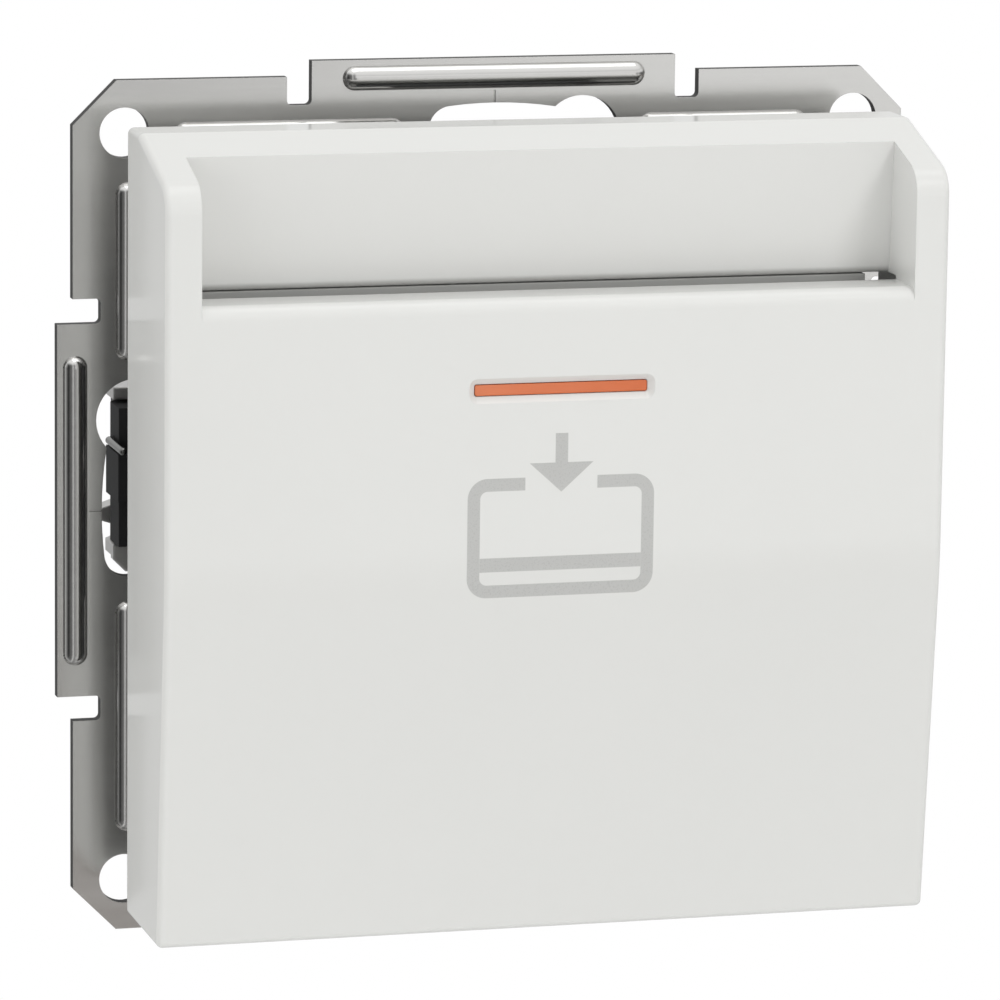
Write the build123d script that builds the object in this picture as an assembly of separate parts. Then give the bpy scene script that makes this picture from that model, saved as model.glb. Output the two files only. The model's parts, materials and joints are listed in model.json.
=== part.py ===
"""Hotel key card switch: a card slot cover on a flush switch in a 71 mm support frame.

Millimetres. X runs to the right as seen from the room, Y runs into the wall and Z runs up. The
origin is the centre of the support frame on its rear face, which lies in the plane of the wall.
"""

import math
import os

from build123d import *

# Clearances and cuts
running_gap = 0.05
sliding_gap = 0.15
free_gap = 0.3
overrun = 3.0

# Support frame, a pressed steel ring with the same pattern on its four sides
frame_span = 71.0
frame_body = 68.5
frame_sheet = 1.0
frame_corner_cut = 3.5
flange_length = 30.0
notch_width = 2.0
notch_depth = 3.5
notch_radius = 0.4
corner_hole_pitch = 60.2
corner_hole_dia = 4.0
box_screw_circle = 60.0
box_slot_width = 3.8
box_head_dia = 6.5
box_head_angle = 14.0
box_slot_angle = 6.7
aperture = 47.0
aperture_radius = 1.0
rib_radius = 1.0
rib_height = 0.75
rib_groove_radius = 0.45
outer_rib_place = 34.05
outer_rib_length = 25.0
inner_rib_place = 29.85
inner_rib_end = 26.2
inner_rib_head_start = 12.0
inner_rib_tail_start = 7.4
scribe_width = 0.16
scribe_depth = 0.12
scribe_length = 1.0

# Cover plate
cover_width = 62.6
cover_top_rise = 0.1
cover_rear = 8.0
cover_front = 21.85
cover_taper_angle = 5.3
cover_bend_z = -2.7
cover_bend_radius = 40.0
cover_slope_angle = 17.5
cover_slope_start = 11.8
cover_brow_radius = 2.5
cover_edge_radius = 0.5
cover_wall = 1.2
cover_rim_cut = 0.35
panel_wall = 2.0
back_panel_wall = 1.4
cheek_wall = 2.8
recess_front = 15.6
recess_lean = 0.55
recess_foot_z = 19.55
recess_foot_radius = 0.6
slot_width = 1.7
lip_z = 19.25
lip_radius = 1.1
lip_root_z = 15.0
guide_rib_places = (12.0, 24.0)
guide_rib_width = 1.0
guide_rib_top = 15.0
guide_rib_foot = 4.3
screw_boss_inset = 10.3
screw_boss_rise = 1.8
screw_boss_radius = 2.2
screw_boss_length = 4.2
screw_core_radius = 0.8
tongue_place = 15.0
tongue_width = 8.0
tongue_thickness = 1.0
tongue_depth = 1.4
ledge_thickness = 0.8
ledge_height = 1.3

# Indicator window and lens
window_z = 12.15
window_width = 13.9
window_height = 0.95
window_corner = 0.2
window_bevel = 0.5
lens_recess = 0.45
lens_flange_width = 15.6
lens_flange_height = 2.6
lens_flange_depth = 0.9

# Card guide, the tray behind the slot
rail_wall = 0.9
tray_inset = 3.1
tray_wall = 1.4
tray_top = 18.4
tray_crest_end = 26.5
tray_floor = 1.2
rail_depth = 1.6
nose_window_half = 6.0
nose_window_top = -8.3
nose_window_bottom = -18.3
bracket_inner = 11.0
bracket_inset = 3.2
bracket_wall = 1.2
bracket_rise = 4.4
hook_place = 14.0
hook_width = 6.0
hook_wall = 1.2
barb_depth = 1.0
ear_inner = 10.3
ear_wall = 1.5
ear_reach = 1.9

# Screws of tray and lid
small_head_radius = 1.9
small_head_height = 1.4
small_slot_width = 0.5
small_slot_depth = 0.7
guide_screw_length = 3.6

# Light guide and plug-in lamp
light_bar_width = 13.6
light_bar_height = 1.9
light_bar_depth = 2.7
holder_width = 12.0
holder_height = 5.6
holder_front = 9.0
holder_wall = 0.9
holder_floor = 0.9
holder_flange = 1.1
holder_flange_thickness = 0.9
board_thickness = 0.9
lamp_radius = 1.5
lamp_front = 12.4
lamp_foot_radius = 1.75
lamp_foot_height = 0.6
lamp_pin_radius = 0.4
lamp_pin_place = 3.5

# Card lever, the flap in the card's path
hinge_depth = 11.2
hinge_z = 8.0
hinge_barrel_radius = 1.6
hinge_pin_radius = 1.0
hinge_half = 10.0
hinge_gap_half = 4.0
lever_half = 9.0
lever_wall = 1.4
lever_bottom = -16.5
nose_half = 5.0
nose_top = -10.0
nose_tip_depth = 18.2
nose_shoulder_depth = 16.0
nose_tip_top = -13.5
nose_tip_bottom = -15.5
nose_foot_depth = 17.2
lever_stop_half = 6.9
lever_stop_top = -13.0
lever_spring_radius = 1.75
lever_spring_wire = 0.4
lever_spring_quarter_turns = 17
lever_spring_leg = 6.5

# Switch lid
lid_inset = 8.1
lid_front = 6.0
lid_plate = 1.5
lid_lap = 1.4
lid_wall = 1.5
turret_height = 1.6
turret_wall = 1.5
lid_screw_inset = 4.0
lid_screw_drop = 7.7
lid_screw_radius = 1.2
lid_screw_length = 13.0

# Switch base
base_flange = 1.5
base_flange_lap = 1.3
base_flange_radius = 1.5
base_gap = 0.5
base_half_height = 22.0
base_corner_cut = 4.5
base_depth = 22.0
base_wall = 1.5
base_rear_wall = 1.8
base_rear_edge = 0.6
marking_width = 17.0
marking_height = 9.0
marking_depth = 0.3
rivet_edge = 2.4
rivet_z = 16.0
rivet_radius = 1.2
rivet_head_radius = 1.9
rivet_head_height = 0.9
lug_half = 2.6
lug_round = 2.0
boss_radius = 2.6
boss_share = 0.5227

# Claw pockets and cheeks at the sides of the base
pocket_half = 10.0
pocket_depth = 5.0
pocket_front = 2.3
cheek_top = 6.5
cheek_bottom = -4.9
cheek_front_reach = 3.8
cheek_step_share = 0.391
cheek_reach = 5.5
cheek_ramp_share = 0.5455
cheek_rear_share = 0.7273
cheek_pad_height = 0.5
cheek_pad_share = 0.2909
cheek_pad_bottom = -0.8
cheek_pad_top = 3.1
ramp_angle = 35.0

# Claws, their screws and nuts
claw_sheet = 1.0
claw_front_share = 0.5091
claw_rear_inset = 0.5
claw_inner_gap = 0.4
claw_side_reach = 5.4
claw_lip_height = 1.25
claw_lip_cut = 1.0
claw_tooth_z = -3.25
claw_tooth_root = 2.0
claw_tooth_tip = 0.3
claw_tooth_reach = 1.5
claw_tooth_bed = 1.1
claw_web_start = 0.9
claw_screw_inset = 2.9
claw_screw_z = 1.2
claw_screw_radius = 1.5
claw_head_radius = 2.7
claw_head_height = 2.0
claw_head_slot = 0.8
claw_head_slot_depth = 1.1
claw_screw_reach = 3.2
claw_nut_side = 5.0
claw_nut_height = 2.2
claw_wire_radius = 0.32
claw_wire_front_share = 0.235
claw_wire_rear_share = 0.4818
claw_wire_anchor = 2.5

# Plunger
plunger_z = -4.0
plunger_width = 8.0
plunger_height = 6.0
plunger_front = 10.2
plunger_nose_radius = 3.6
plunger_collar = 1.2
plunger_collar_height = 1.2
plunger_stem_radius = 2.2
plunger_coil_radius = 3.1
plunger_coil_wire = 0.5
plunger_coil_turns = 6
bridge_front_share = 0.2273
bridge_wall = 1.2
bridge_half_height = 5.5

# Contact arm and contacts
pivot_share = 0.5
pivot_z = -13.0
pivot_pin_radius = 0.6
pivot_eye_radius = 1.5
arm_width = 5.0
arm_sheet = 0.8
arm_top = 6.5
contact_z = 4.5
rivet_tip_radius = 1.6
rivet_tip_height = 0.9
rivet_tip_shank = 0.8
fixed_tip_radius = 1.5
fixed_tip_height = 1.2
make_tip_share = 0.7227
contact_coil_z = -0.5
contact_coil_radius = 1.75
contact_coil_wire = 0.4
contact_coil_turns = 7
contact_post_radius = 1.1
contact_post_length = 3.8

# Terminals with wire clamps
terminal_sheet = 0.8
terminal_width = 5.0
terminal_x = 9.5
terminal_z = 14.8
terminal_bar_gap = 1.6
terminal_bar_share = 0.6364
terminal_rear_gap = 0.3
contact_plate_bottom = 2.7
contact_plate_side = 2.5
ear_sheet = 0.8
ear_reach_front = 1.8
ear_foot = 1.0
ear_height_above = 1.6
ear_height_below = 1.7
wire_hole_radius = 1.4
wire_funnel_radius = 2.0
wire_funnel_depth = 0.8
clamp_width = 4.0
clamp_sheet = 0.4
clamp_front_share = 0.4
clamp_rear_gap = 0.8
clamp_tip_share = 0.7545
clamp_tip_drop = 0.9
clamp_top_gap = 0.2
release_width = 3.0
release_height = 2.5
release_reach = 1.4
release_collar = 0.7
release_collar_depth = 1.2

# Places worked out from the sizes above
slope = math.tan(math.radians(cover_slope_angle))
taper = math.tan(math.radians(cover_taper_angle))
ramp = math.tan(math.radians(ramp_angle))
cover_half = cover_width / 2
cover_top = cover_half + cover_top_rise
cover_bottom = -cover_half
recess_half = cover_half - cheek_wall
slot_front = recess_front + slot_width
guide_rib_bottom = guide_rib_foot - cover_half
lid_half = cover_half - lid_inset
lid_box_half = lid_half - lid_lap
lid_rear = lid_front - lid_plate
lid_screw_x = lid_half - lid_screw_inset
lid_screw_z = lid_half - lid_screw_drop
tray_half = cover_half - tray_inset
tray_crest_top = recess_foot_z - running_gap
tray_bottom = -tray_half
tray_front = recess_front
tray_rear = tray_front - tray_wall
bracket_outer = tray_half - bracket_inset
bracket_top = lid_half + bracket_rise
screw_boss_x = cover_half - screw_boss_inset
screw_boss_z = lid_half + screw_boss_rise
flange_front = frame_sheet + base_flange
base_half = aperture / 2 - base_gap
base_flange_half = aperture / 2 + base_flange_lap
rivet_x = aperture / 2 + rivet_edge
lug_reach = rivet_x + lug_round
pocket_floor = base_half - pocket_depth
chamber_half = pocket_floor - base_wall
chamber_rear = base_depth - base_rear_wall
chamber_top = base_half_height - base_wall
boss_depth = boss_share * base_depth
bridge_front = bridge_front_share * base_depth
pivot_y = pivot_share * base_depth
plunger_rear = pivot_y - arm_sheet / 2 - free_gap
make_tip_y = make_tip_share * base_depth
terminal_bar_front = terminal_bar_share * base_depth
ear_front = pivot_y - ear_reach_front
ear_rear = terminal_bar_front + ear_foot
ear_top = pivot_z + ear_height_above
ear_bottom = pivot_z - ear_height_below
clamp_front = clamp_front_share * base_depth
clamp_rear = chamber_rear - clamp_rear_gap
clamp_tip_y = clamp_tip_share * base_depth
release_rear = base_depth + release_reach
cheek_x = base_half + cheek_reach
cheek_front_x = base_half + cheek_front_reach
cheek_pad_x = cheek_x + cheek_pad_height
cheek_step = cheek_step_share * base_depth
cheek_ramp_start = cheek_ramp_share * base_depth
cheek_rear = cheek_rear_share * base_depth
cheek_pad_front = cheek_pad_share * base_depth
claw_front = claw_front_share * base_depth
claw_rear = base_depth - claw_rear_inset
claw_inner = pocket_floor + claw_inner_gap
claw_reach = base_half + claw_side_reach
claw_screw_x = pocket_floor + claw_screw_inset
claw_screw_end = base_depth + claw_screw_reach
claw_wire_front = claw_wire_front_share * base_depth
claw_wire_rear = claw_wire_rear_share * base_depth
bar_z = terminal_z - terminal_bar_gap
screw_turn_places = ((lid_screw_x, lid_screw_z), (-lid_screw_x, -lid_screw_z))
terminal_places = ((0, -terminal_z), (terminal_x, terminal_z), (-terminal_x, terminal_z))


def slab(x0, x1, y0, y1, z0, z1):
    """A block between two corners."""
    centre = Pos((x0 + x1) / 2, (y0 + y1) / 2, (z0 + z1) / 2)
    return centre * Box(abs(x1 - x0), abs(y1 - y0), abs(z1 - z0))


def centred(width, height, y0, y1, x=0, z=0):
    """A block of a width and height about the line (x, z), from y0 to y1."""
    return Pos(x, (y0 + y1) / 2, z) * Box(width, abs(y1 - y0), height)


def rod(x, z, radius, y0, y1):
    """A round bar along Y."""
    return Pos(x, (y0 + y1) / 2, z) * Rot(90, 0, 0) * Cylinder(radius, abs(y1 - y0))


def funnel(x, z, small, large, y0, y1):
    """A round bar along Y that widens from y0 to y1."""
    return Pos(x, (y0 + y1) / 2, z) * Rot(90, 0, 0) * Cone(large, small, y1 - y0)


def axle(y, z, radius, x0, x1):
    """A round bar along X."""
    return Pos((x0 + x1) / 2, y, z) * Rot(0, 90, 0) * Cylinder(radius, abs(x1 - x0))


def front_prism(sketch, y0, y1):
    """A sketch drawn as seen from the room, given depth from y0 to y1."""
    return extrude(Plane.XZ.offset(-y1) * sketch, y1 - y0)


def side_prism(points, x0, x1):
    """An outline of (y, z) points, given width from x0 to x1."""
    return extrude(Plane.YZ.offset(x0) * make_face(Polyline(*points, close=True)), x1 - x0)


def plan_prism(points, z0, z1):
    """An outline of (x, y) points, given height from z0 to z1."""
    return extrude(Plane.XY.offset(z0) * make_face(Polyline(*points, close=True)), z1 - z0)


def capsule(x0, x1, y, z, radius):
    """A bar along X with round ends."""
    ends = Pos(x0 + radius, y, z) * Sphere(radius) + Pos(x1 - radius, y, z) * Sphere(radius)
    return axle(y, z, radius, x0 + radius, x1 - radius) + ends


def coil(radius, wire, length, turns, left_hand=False):
    """A helical spring along Z, from zero to its length."""
    path = Helix(pitch=length / turns, height=length, radius=radius, lefthand=left_hand)
    section = Plane(origin=path @ 0, z_dir=path % 0) * Circle(wire / 2)
    return sweep(section, path=path, is_frenet=True)


def coil_along_y(x, z, y0, y1, radius, wire, turns):
    """A helical spring along Y whose wire lies between y0 and y1."""
    length = y1 - y0 - wire
    return Pos(x, y0 + wire / 2, z) * Rot(-90, 0, 0) * coil(radius, wire, length, turns)


def slotted_screw(x, z, head_radius, head_height, slot, slot_depth, shank_radius, seat, length):
    """A screw seen from its head, which stands in front of the seat; it runs towards +Y."""
    head = rod(x, z, head_radius, seat - head_height, seat)
    groove = centred(3 * head_radius, slot, seat - 2 * head_height, seat - head_height + slot_depth, x, z)
    return head - groove + rod(x, z, shank_radius, seat, seat + length)


def slope_z(y):
    """Height of the cover's slanted top at a place y in front of the wall."""
    return cover_top - slope * (-y - cover_slope_start)


def panel_y(z, depth=0.0):
    """Place of the cover's front, or of a surface that lies a depth behind it, at a height."""
    return -cover_front + taper * max(0.0, cover_bend_z - z) + depth


def support_frame():
    """The steel ring: outline, keyhole slots for box screws, corner holes, ribs and centre marks."""
    body = chamfer(Rectangle(frame_body, frame_body).vertices(), frame_corner_cut)
    sheet = body + Rectangle(frame_span, flange_length) + Rectangle(flange_length, frame_span)
    circle = box_screw_circle / 2
    arc_start = 90 - box_head_angle
    arc = CenterArc((0, 0), circle, arc_start, box_head_angle + box_slot_angle)
    head_x = circle * math.cos(math.radians(arc_start))
    head_y = circle * math.sin(math.radians(arc_start))
    keyhole = SlotArc(arc, box_slot_width) + Pos(head_x, head_y) * Circle(box_head_dia / 2)
    notch_length = notch_depth + overrun
    notch = RectangleRounded(notch_width, notch_length, notch_radius)
    notch_x = (flange_length + notch_width) / 2
    notch_y = frame_span / 2 - notch_depth + notch_length / 2
    hole_place = corner_hole_pitch / 2
    side = keyhole + Pos(notch_x, notch_y) * notch + Pos(-notch_x, notch_y) * notch
    side += Pos(hole_place, hole_place) * Circle(corner_hole_dia / 2)
    for turn in range(4):
        sheet -= Rot(0, 0, 90 * turn) * side
    for x, z in rivet_places():
        sheet -= Pos(x, z) * Circle(rivet_radius)
    sheet -= RectangleRounded(aperture, aperture, aperture_radius)
    frame = front_prism(sheet, -frame_sheet, 0)
    rib_y = rib_radius - rib_height - frame_sheet
    spans = (
        (-outer_rib_length / 2, outer_rib_length / 2, outer_rib_place),
        (inner_rib_head_start, inner_rib_end, inner_rib_place),
        (-inner_rib_end, -inner_rib_tail_start, inner_rib_place),
    )
    inset = rib_radius - rib_groove_radius
    ribs = []
    grooves = []
    for turn in range(4):
        place = Rot(0, -90 * turn, 0)
        for x0, x1, z in spans:
            ribs.append(place * capsule(x0, x1, rib_y, z, rib_radius))
            hollow = capsule(x0 + inset, x1 - inset, rib_y, z, rib_groove_radius)
            hollow += slab(
                x0 + rib_radius,
                x1 - rib_radius,
                rib_y,
                overrun,
                z - rib_groove_radius,
                z + rib_groove_radius,
            )
            grooves.append(place * hollow)
        scribe_z = (box_screw_circle + box_slot_width) / 2 + scribe_length / 2
        mark = centred(scribe_width, scribe_length, -frame_sheet - overrun, scribe_depth - frame_sheet)
        grooves.append(place * Pos(0, 0, scribe_z) * mark)
    frame = frame + ribs
    frame -= slab(-frame_span, frame_span, 0, overrun, -frame_span, frame_span)
    return frame - grooves


def rivet_places():
    """The four places where the frame is riveted to the switch base."""
    return [(sx * rivet_x, sz * rivet_z) for sx in (-1, 1) for sz in (-1, 1)]


def frame_rivets():
    """Rivets with a round head in front, flush with the frame behind."""
    rivets = []
    for x, z in rivet_places():
        head = rod(x, z, rivet_head_radius, -flange_front - rivet_head_height, -flange_front)
        rivets.append(head + rod(x, z, rivet_radius, -flange_front, 0))
    return rivets


def cover_shell():
    """The outside of the cover, as a solid block with its edges rounded."""
    low_front = panel_y(cover_bottom)
    high_front = slope_z(-cover_front)
    outline = (
        (-cover_rear, cover_bottom),
        (low_front, cover_bottom),
        (-cover_front, cover_bend_z),
        (-cover_front, high_front),
        (-cover_slope_start, cover_top),
        (-cover_rear, cover_top),
    )
    sketch = make_face(Polyline(*outline, close=True))
    corner = sketch.vertices().sort_by_distance((-cover_front, high_front))[0]
    sketch = fillet(corner, cover_brow_radius)
    corner = sketch.vertices().sort_by_distance((-cover_front, cover_bend_z))[0]
    sketch = fillet(corner, cover_bend_radius)
    shell = extrude(Plane.YZ.offset(-cover_half) * sketch, cover_width)
    rear = shell.faces().sort_by(Axis.Y)[-1]
    rear_edges = rear.edges()
    low_bar = near(shell.edges().filter_by(Axis.X), low_front, cover_bottom)
    edges = [low_bar]
    for face in (shell.faces().sort_by(Axis.X)[0], shell.faces().sort_by(Axis.X)[-1]):
        edges += [e for e in face.edges() if not is_in(e, rear_edges)]
    return fillet(edges, cover_edge_radius)


def near(edges, y, z):
    """The edge whose middle lies nearest to a place in the side view."""
    return min(edges, key=lambda e: math.hypot((e @ 0.5).Y - y, (e @ 0.5).Z - z))


def is_in(edge, edges):
    """Whether an edge is one of a list, by its middle point."""
    return any((edge @ 0.5 - other @ 0.5).length < running_gap for other in edges)


def centre_plate():
    """The white cover: shell, recess, card slot, window, card ribs, screw bosses and ledges."""
    plate = cover_shell()
    inner = cover_half - cover_wall
    panel_rear = recess_front - back_panel_wall
    inner_top = cover_top - cover_wall
    cavity = (
        (-cover_rear + overrun, cover_bottom + cover_wall),
        (panel_y(cover_bottom + cover_wall, panel_wall), cover_bottom + cover_wall),
        (-cover_front + panel_wall, cover_bend_z),
        (-cover_front + panel_wall, lip_root_z),
        (-slot_front, lip_root_z + cover_front - panel_wall - slot_front),
        (-slot_front, recess_foot_z),
        (-panel_rear, recess_foot_z),
        (-panel_rear, slope_z(-panel_rear) - back_panel_wall),
        (-cover_slope_start, inner_top - slope * cover_wall),
        (-cover_rear + overrun, inner_top - slope * cover_wall),
    )
    plate -= side_prism(cavity, -inner, inner)
    rim_top = inner_top - slope * cover_wall
    for side in (-1, 1):
        cut = (
            (side * inner, -cover_rear - cover_rim_cut),
            (side * (inner + cover_rim_cut + overrun), -cover_rear + overrun),
            (side * inner, -cover_rear + overrun),
        )
        plate -= plan_prism(cut, cover_bottom + cover_wall, rim_top)
    recess = (
        (-recess_front, lip_z),
        (-recess_front, recess_foot_z),
        (-recess_front - recess_lean, slope_z(-recess_front)),
        (-recess_front - recess_lean - overrun * recess_lean, cover_top + overrun),
        (-cover_front - overrun, cover_top + overrun),
        (-cover_front - overrun, lip_z),
    )
    plate -= side_prism(recess, -recess_half, recess_half)
    bars = plate.edges().filter_by(Axis.X)
    plate = fillet([near(bars, -cover_front, lip_z)], lip_radius)
    bars = plate.edges().filter_by(Axis.X)
    plate = fillet([near(bars, -recess_front, recess_foot_z)], recess_foot_radius)
    window = Pos(0, window_z) * RectangleRounded(window_width, window_height, window_corner)
    plate -= front_prism(window, -cover_front - overrun, -cover_front + panel_wall + overrun)
    mouth = [e for e in plate.edges() if abs((e @ 0.5).Y + cover_front) < running_gap]
    mouth = [e for e in mouth if e.bounding_box().max.Z - window_z < window_height]
    mouth = [e for e in mouth if window_z - e.bounding_box().min.Z < window_height]
    mouth = [e for e in mouth if abs((e @ 0.5).X) < window_width]
    plate = chamfer(mouth, window_bevel)
    for place in guide_rib_places:
        for side in (-1, 1):
            plate += card_rib(side * place)
    for side in (-1, 1):
        boss_end = -panel_rear + screw_boss_length
        boss = rod(side * screw_boss_x, screw_boss_z, screw_boss_radius, -panel_rear, boss_end)
        core_start = boss_end - guide_screw_length + bracket_wall
        plate += boss
        plate -= rod(side * screw_boss_x, screw_boss_z, screw_core_radius, core_start, boss_end)
        for offset in (-1, 1):
            plate += tongue_ledge(side * tongue_place, offset)
    return plate


def card_rib(x):
    """An upright rib behind the front panel, which keeps the card in its plane."""
    sink = panel_wall / 2
    outline = (
        (panel_y(guide_rib_bottom, sink), guide_rib_bottom),
        (panel_y(cover_bend_z, sink), cover_bend_z),
        (panel_y(cover_bend_z, sink), guide_rib_top),
        (-slot_front, guide_rib_top),
        (-slot_front, guide_rib_bottom),
    )
    return side_prism(outline, x - guide_rib_width / 2, x + guide_rib_width / 2)


def tongue_ledge(x, offset):
    """One of two low ribs on the cover's floor that hold a tongue of the tray between them."""
    gap = tongue_thickness / 2 + sliding_gap
    middle = -tray_front + tray_wall / 2
    y0 = middle + offset * gap
    y1 = y0 + offset * ledge_thickness
    floor = cover_bottom + cover_wall / 2
    top = cover_bottom + cover_wall + ledge_height
    return slab(x - tongue_width / 2, x + tongue_width / 2, min(y0, y1), max(y0, y1), floor, top)


def indicator_lens():
    """The light pipe: a bar in the window on a flange behind the panel."""
    gap = running_gap
    sketch = RectangleRounded(window_width - 2 * gap, window_height - 2 * gap, window_corner - gap)
    seat = -cover_front + panel_wall + gap
    bar = front_prism(Pos(0, window_z) * sketch, -cover_front + lens_recess, seat)
    flange = centred(lens_flange_width, lens_flange_height, seat, seat + lens_flange_depth, 0, window_z)
    return bar + flange


def card_guide():
    """The tray: back wall, side rails, floor, lever window, hinge ears, brackets and snap arms."""
    tray = slab(-tray_half, tray_half, -tray_front, -tray_rear, tray_bottom, tray_top)
    crest = (-tray_half, tray_crest_end, -tray_front, -tray_rear)
    tray += slab(*crest, tray_top - overrun, tray_crest_top)
    rail_inner = tray_half - rail_wall
    for side in (-1, 1):
        rail = (side * rail_inner, side * tray_half)
        tray += slab(*sorted(rail), -tray_front - rail_depth, -tray_front, tray_bottom, lip_root_z)
    floor_top = tray_bottom + tray_floor
    tray += slab(-tray_half, tray_half, -tray_front - rail_depth, -tray_front, tray_bottom, floor_top)
    tray -= slab(
        -nose_window_half,
        nose_window_half,
        -tray_front - overrun,
        -tray_rear + overrun,
        nose_window_bottom,
        nose_window_top,
    )
    width = light_bar_width + 2 * sliding_gap
    height = light_bar_height + 2 * sliding_gap
    tray -= centred(width, height, -tray_front - overrun, -tray_rear + overrun, 0, window_z)
    ear_depth = hinge_depth - ear_reach
    for side in (-1, 1):
        ear = sorted((side * ear_inner, side * (ear_inner + ear_wall)))
        tray += slab(*ear, -tray_rear, -ear_depth, hinge_z - ear_reach, hinge_z + ear_reach)
        tray += tray_bracket(side)
        tray += snap_arm(side * hook_place, 1, -screw_boss_seat() + bracket_wall)
        tray += snap_arm(side * hook_place, -1, -tray_rear)
        tongue_y = -tray_front + tray_wall / 2
        tray += slab(
            side * tongue_place - tongue_width / 2,
            side * tongue_place + tongue_width / 2,
            tongue_y - tongue_thickness / 2,
            tongue_y + tongue_thickness / 2,
            tray_bottom - tongue_depth,
            tray_bottom,
        )
    return tray - axle(-hinge_depth, hinge_z, hinge_pin_radius, -tray_half, tray_half)


def screw_boss_seat():
    """How far in front of the wall the tray's brackets meet the cover's screw bosses."""
    return recess_front - back_panel_wall - screw_boss_length


def tray_bracket(side):
    """A step from the tray's top back to a plate that is screwed to the cover's bosses."""
    seat = -screw_boss_seat()
    span = sorted((side * bracket_inner, side * bracket_outer))
    step = slab(*span, -tray_rear, seat + bracket_wall, tray_top - bracket_wall, tray_top)
    plate = slab(*span, seat, seat + bracket_wall, tray_top - bracket_wall, bracket_top)
    hole_radius = screw_core_radius + sliding_gap
    hole = rod(side * screw_boss_x, screw_boss_z, hole_radius, seat - overrun, seat + overrun)
    return step + plate - hole


def snap_arm(x, upper, start):
    """An arm that reaches back past the lid's edge, with a barb that grips behind it."""
    z0 = upper * (lid_half + free_gap)
    z1 = upper * (lid_half + free_gap + hook_wall)
    tip = -lid_rear + free_gap + barb_depth
    half = hook_width / 2
    arm = slab(x - half, x + half, start, tip, *sorted((z0, z1)))
    grip = upper * (lid_half - barb_depth)
    return arm + slab(x - half, x + half, tip - barb_depth, tip, *sorted((grip, z0)))


def guide_screws():
    """Two screws that hold the tray's brackets to the cover, heads towards the wall."""
    seat = -screw_boss_seat() + bracket_wall
    screws = []
    for side in (-1, 1):
        screw = slotted_screw(
            side * screw_boss_x,
            screw_boss_z,
            small_head_radius,
            small_head_height,
            small_slot_width,
            small_slot_depth,
            screw_core_radius,
            -seat,
            guide_screw_length,
        )
        screws.append(mirror(screw, Plane.XZ))
    return screws


def light_guide():
    """A clear bar that fills the tray's window behind the lens."""
    start = -tray_front + sliding_gap
    return centred(light_bar_width, light_bar_height, start, start + light_bar_depth, 0, window_z)


def lamp_holder():
    """A small plug-in cup with a flange that rests on the lid."""
    rear = -lid_rear + free_gap
    cup = centred(holder_width, holder_height, -holder_front, rear, 0, window_z)
    flange_width = holder_width + 2 * holder_flange
    flange_height = holder_height + 2 * holder_flange
    flange_end = -lid_front - holder_flange_thickness
    cup += centred(flange_width, flange_height, flange_end, -lid_front, 0, window_z)
    cup -= centred(
        holder_width - 2 * holder_wall,
        holder_height - 2 * holder_wall,
        -holder_front - overrun,
        rear - holder_floor,
        0,
        window_z,
    )
    for side in (-1, 1):
        cup -= rod(side * lamp_pin_place, window_z, lamp_pin_radius, -holder_front, rear + overrun)
    return cup


def board_rear():
    """Place of the circuit board's rear face, on the floor of the lamp holder."""
    return -lid_rear + free_gap - holder_floor - running_gap


def lamp_board():
    """The small circuit board of the lamp."""
    rear = board_rear()
    width = holder_width - 2 * holder_wall - 2 * sliding_gap
    height = holder_height - 2 * holder_wall - 2 * sliding_gap
    return centred(width, height, rear - board_thickness, rear, 0, window_z)


def indicator_lamp():
    """A domed lamp on the board, pointing at the window."""
    foot = board_rear() - board_thickness
    body = rod(0, window_z, lamp_radius, lamp_radius - lamp_front, foot)
    body += rod(0, window_z, lamp_foot_radius, foot - lamp_foot_height, foot)
    return body + Pos(0, lamp_radius - lamp_front, window_z) * Sphere(lamp_radius)


def lamp_pins():
    """Two contact pins from the board to the strips behind."""
    start = board_rear()
    front_plate = break_plate_y()
    rear_plate = make_tip_y + fixed_tip_height
    return [
        rod(-lamp_pin_place, window_z, lamp_pin_radius, start, front_plate - free_gap),
        rod(lamp_pin_place, window_z, lamp_pin_radius, start, rear_plate - free_gap),
    ]


def card_lever():
    """The flap: two barrels on the pin, a plate behind the tray and a slanted nose."""
    lever = None
    for side in (-1, 1):
        span = sorted((side * hinge_gap_half, side * hinge_half))
        barrel = axle(-hinge_depth, hinge_z, hinge_barrel_radius, *span)
        lever = barrel if lever is None else lever + barrel
    half_wall = lever_wall / 2
    shoulder = hinge_z - hinge_barrel_radius - hinge_pin_radius
    lever += slab(
        -lever_half,
        lever_half,
        -hinge_depth - half_wall,
        -hinge_depth + half_wall,
        lever_bottom,
        shoulder,
    )
    for side in (-1, 1):
        span = sorted((side * hinge_gap_half, side * lever_half))
        lever += slab(*span, -hinge_depth - half_wall, -hinge_depth + half_wall, shoulder, hinge_z)
    for side in (-1, 1):
        span = sorted((side * lever_stop_half, side * lever_half))
        lever += slab(*span, -tray_rear + running_gap, -hinge_depth, lever_bottom, lever_stop_top)
    nose = (
        (-hinge_depth, nose_top),
        (-nose_shoulder_depth, nose_top),
        (-nose_tip_depth, nose_tip_top),
        (-nose_tip_depth, nose_tip_bottom),
        (-nose_foot_depth, lever_bottom),
        (-hinge_depth, lever_bottom),
    )
    lever += side_prism(nose, -nose_half, nose_half)
    bore = hinge_pin_radius + running_gap
    return lever - axle(-hinge_depth, hinge_z, bore, -hinge_half - overrun, hinge_half + overrun)


def lever_pin():
    """The flap's pin, held in the tray's ears."""
    end = ear_inner + ear_wall
    return axle(-hinge_depth, hinge_z, hinge_pin_radius, -end, end)


def wire_leg(start, end, wire):
    """A straight piece of wire between two points, with a round end at its start."""
    run = end - start
    section = Plane(origin=start, z_dir=run) * Circle(wire / 2)
    return extrude(section, run.length) + Pos(start) * Sphere(wire / 2)


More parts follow.
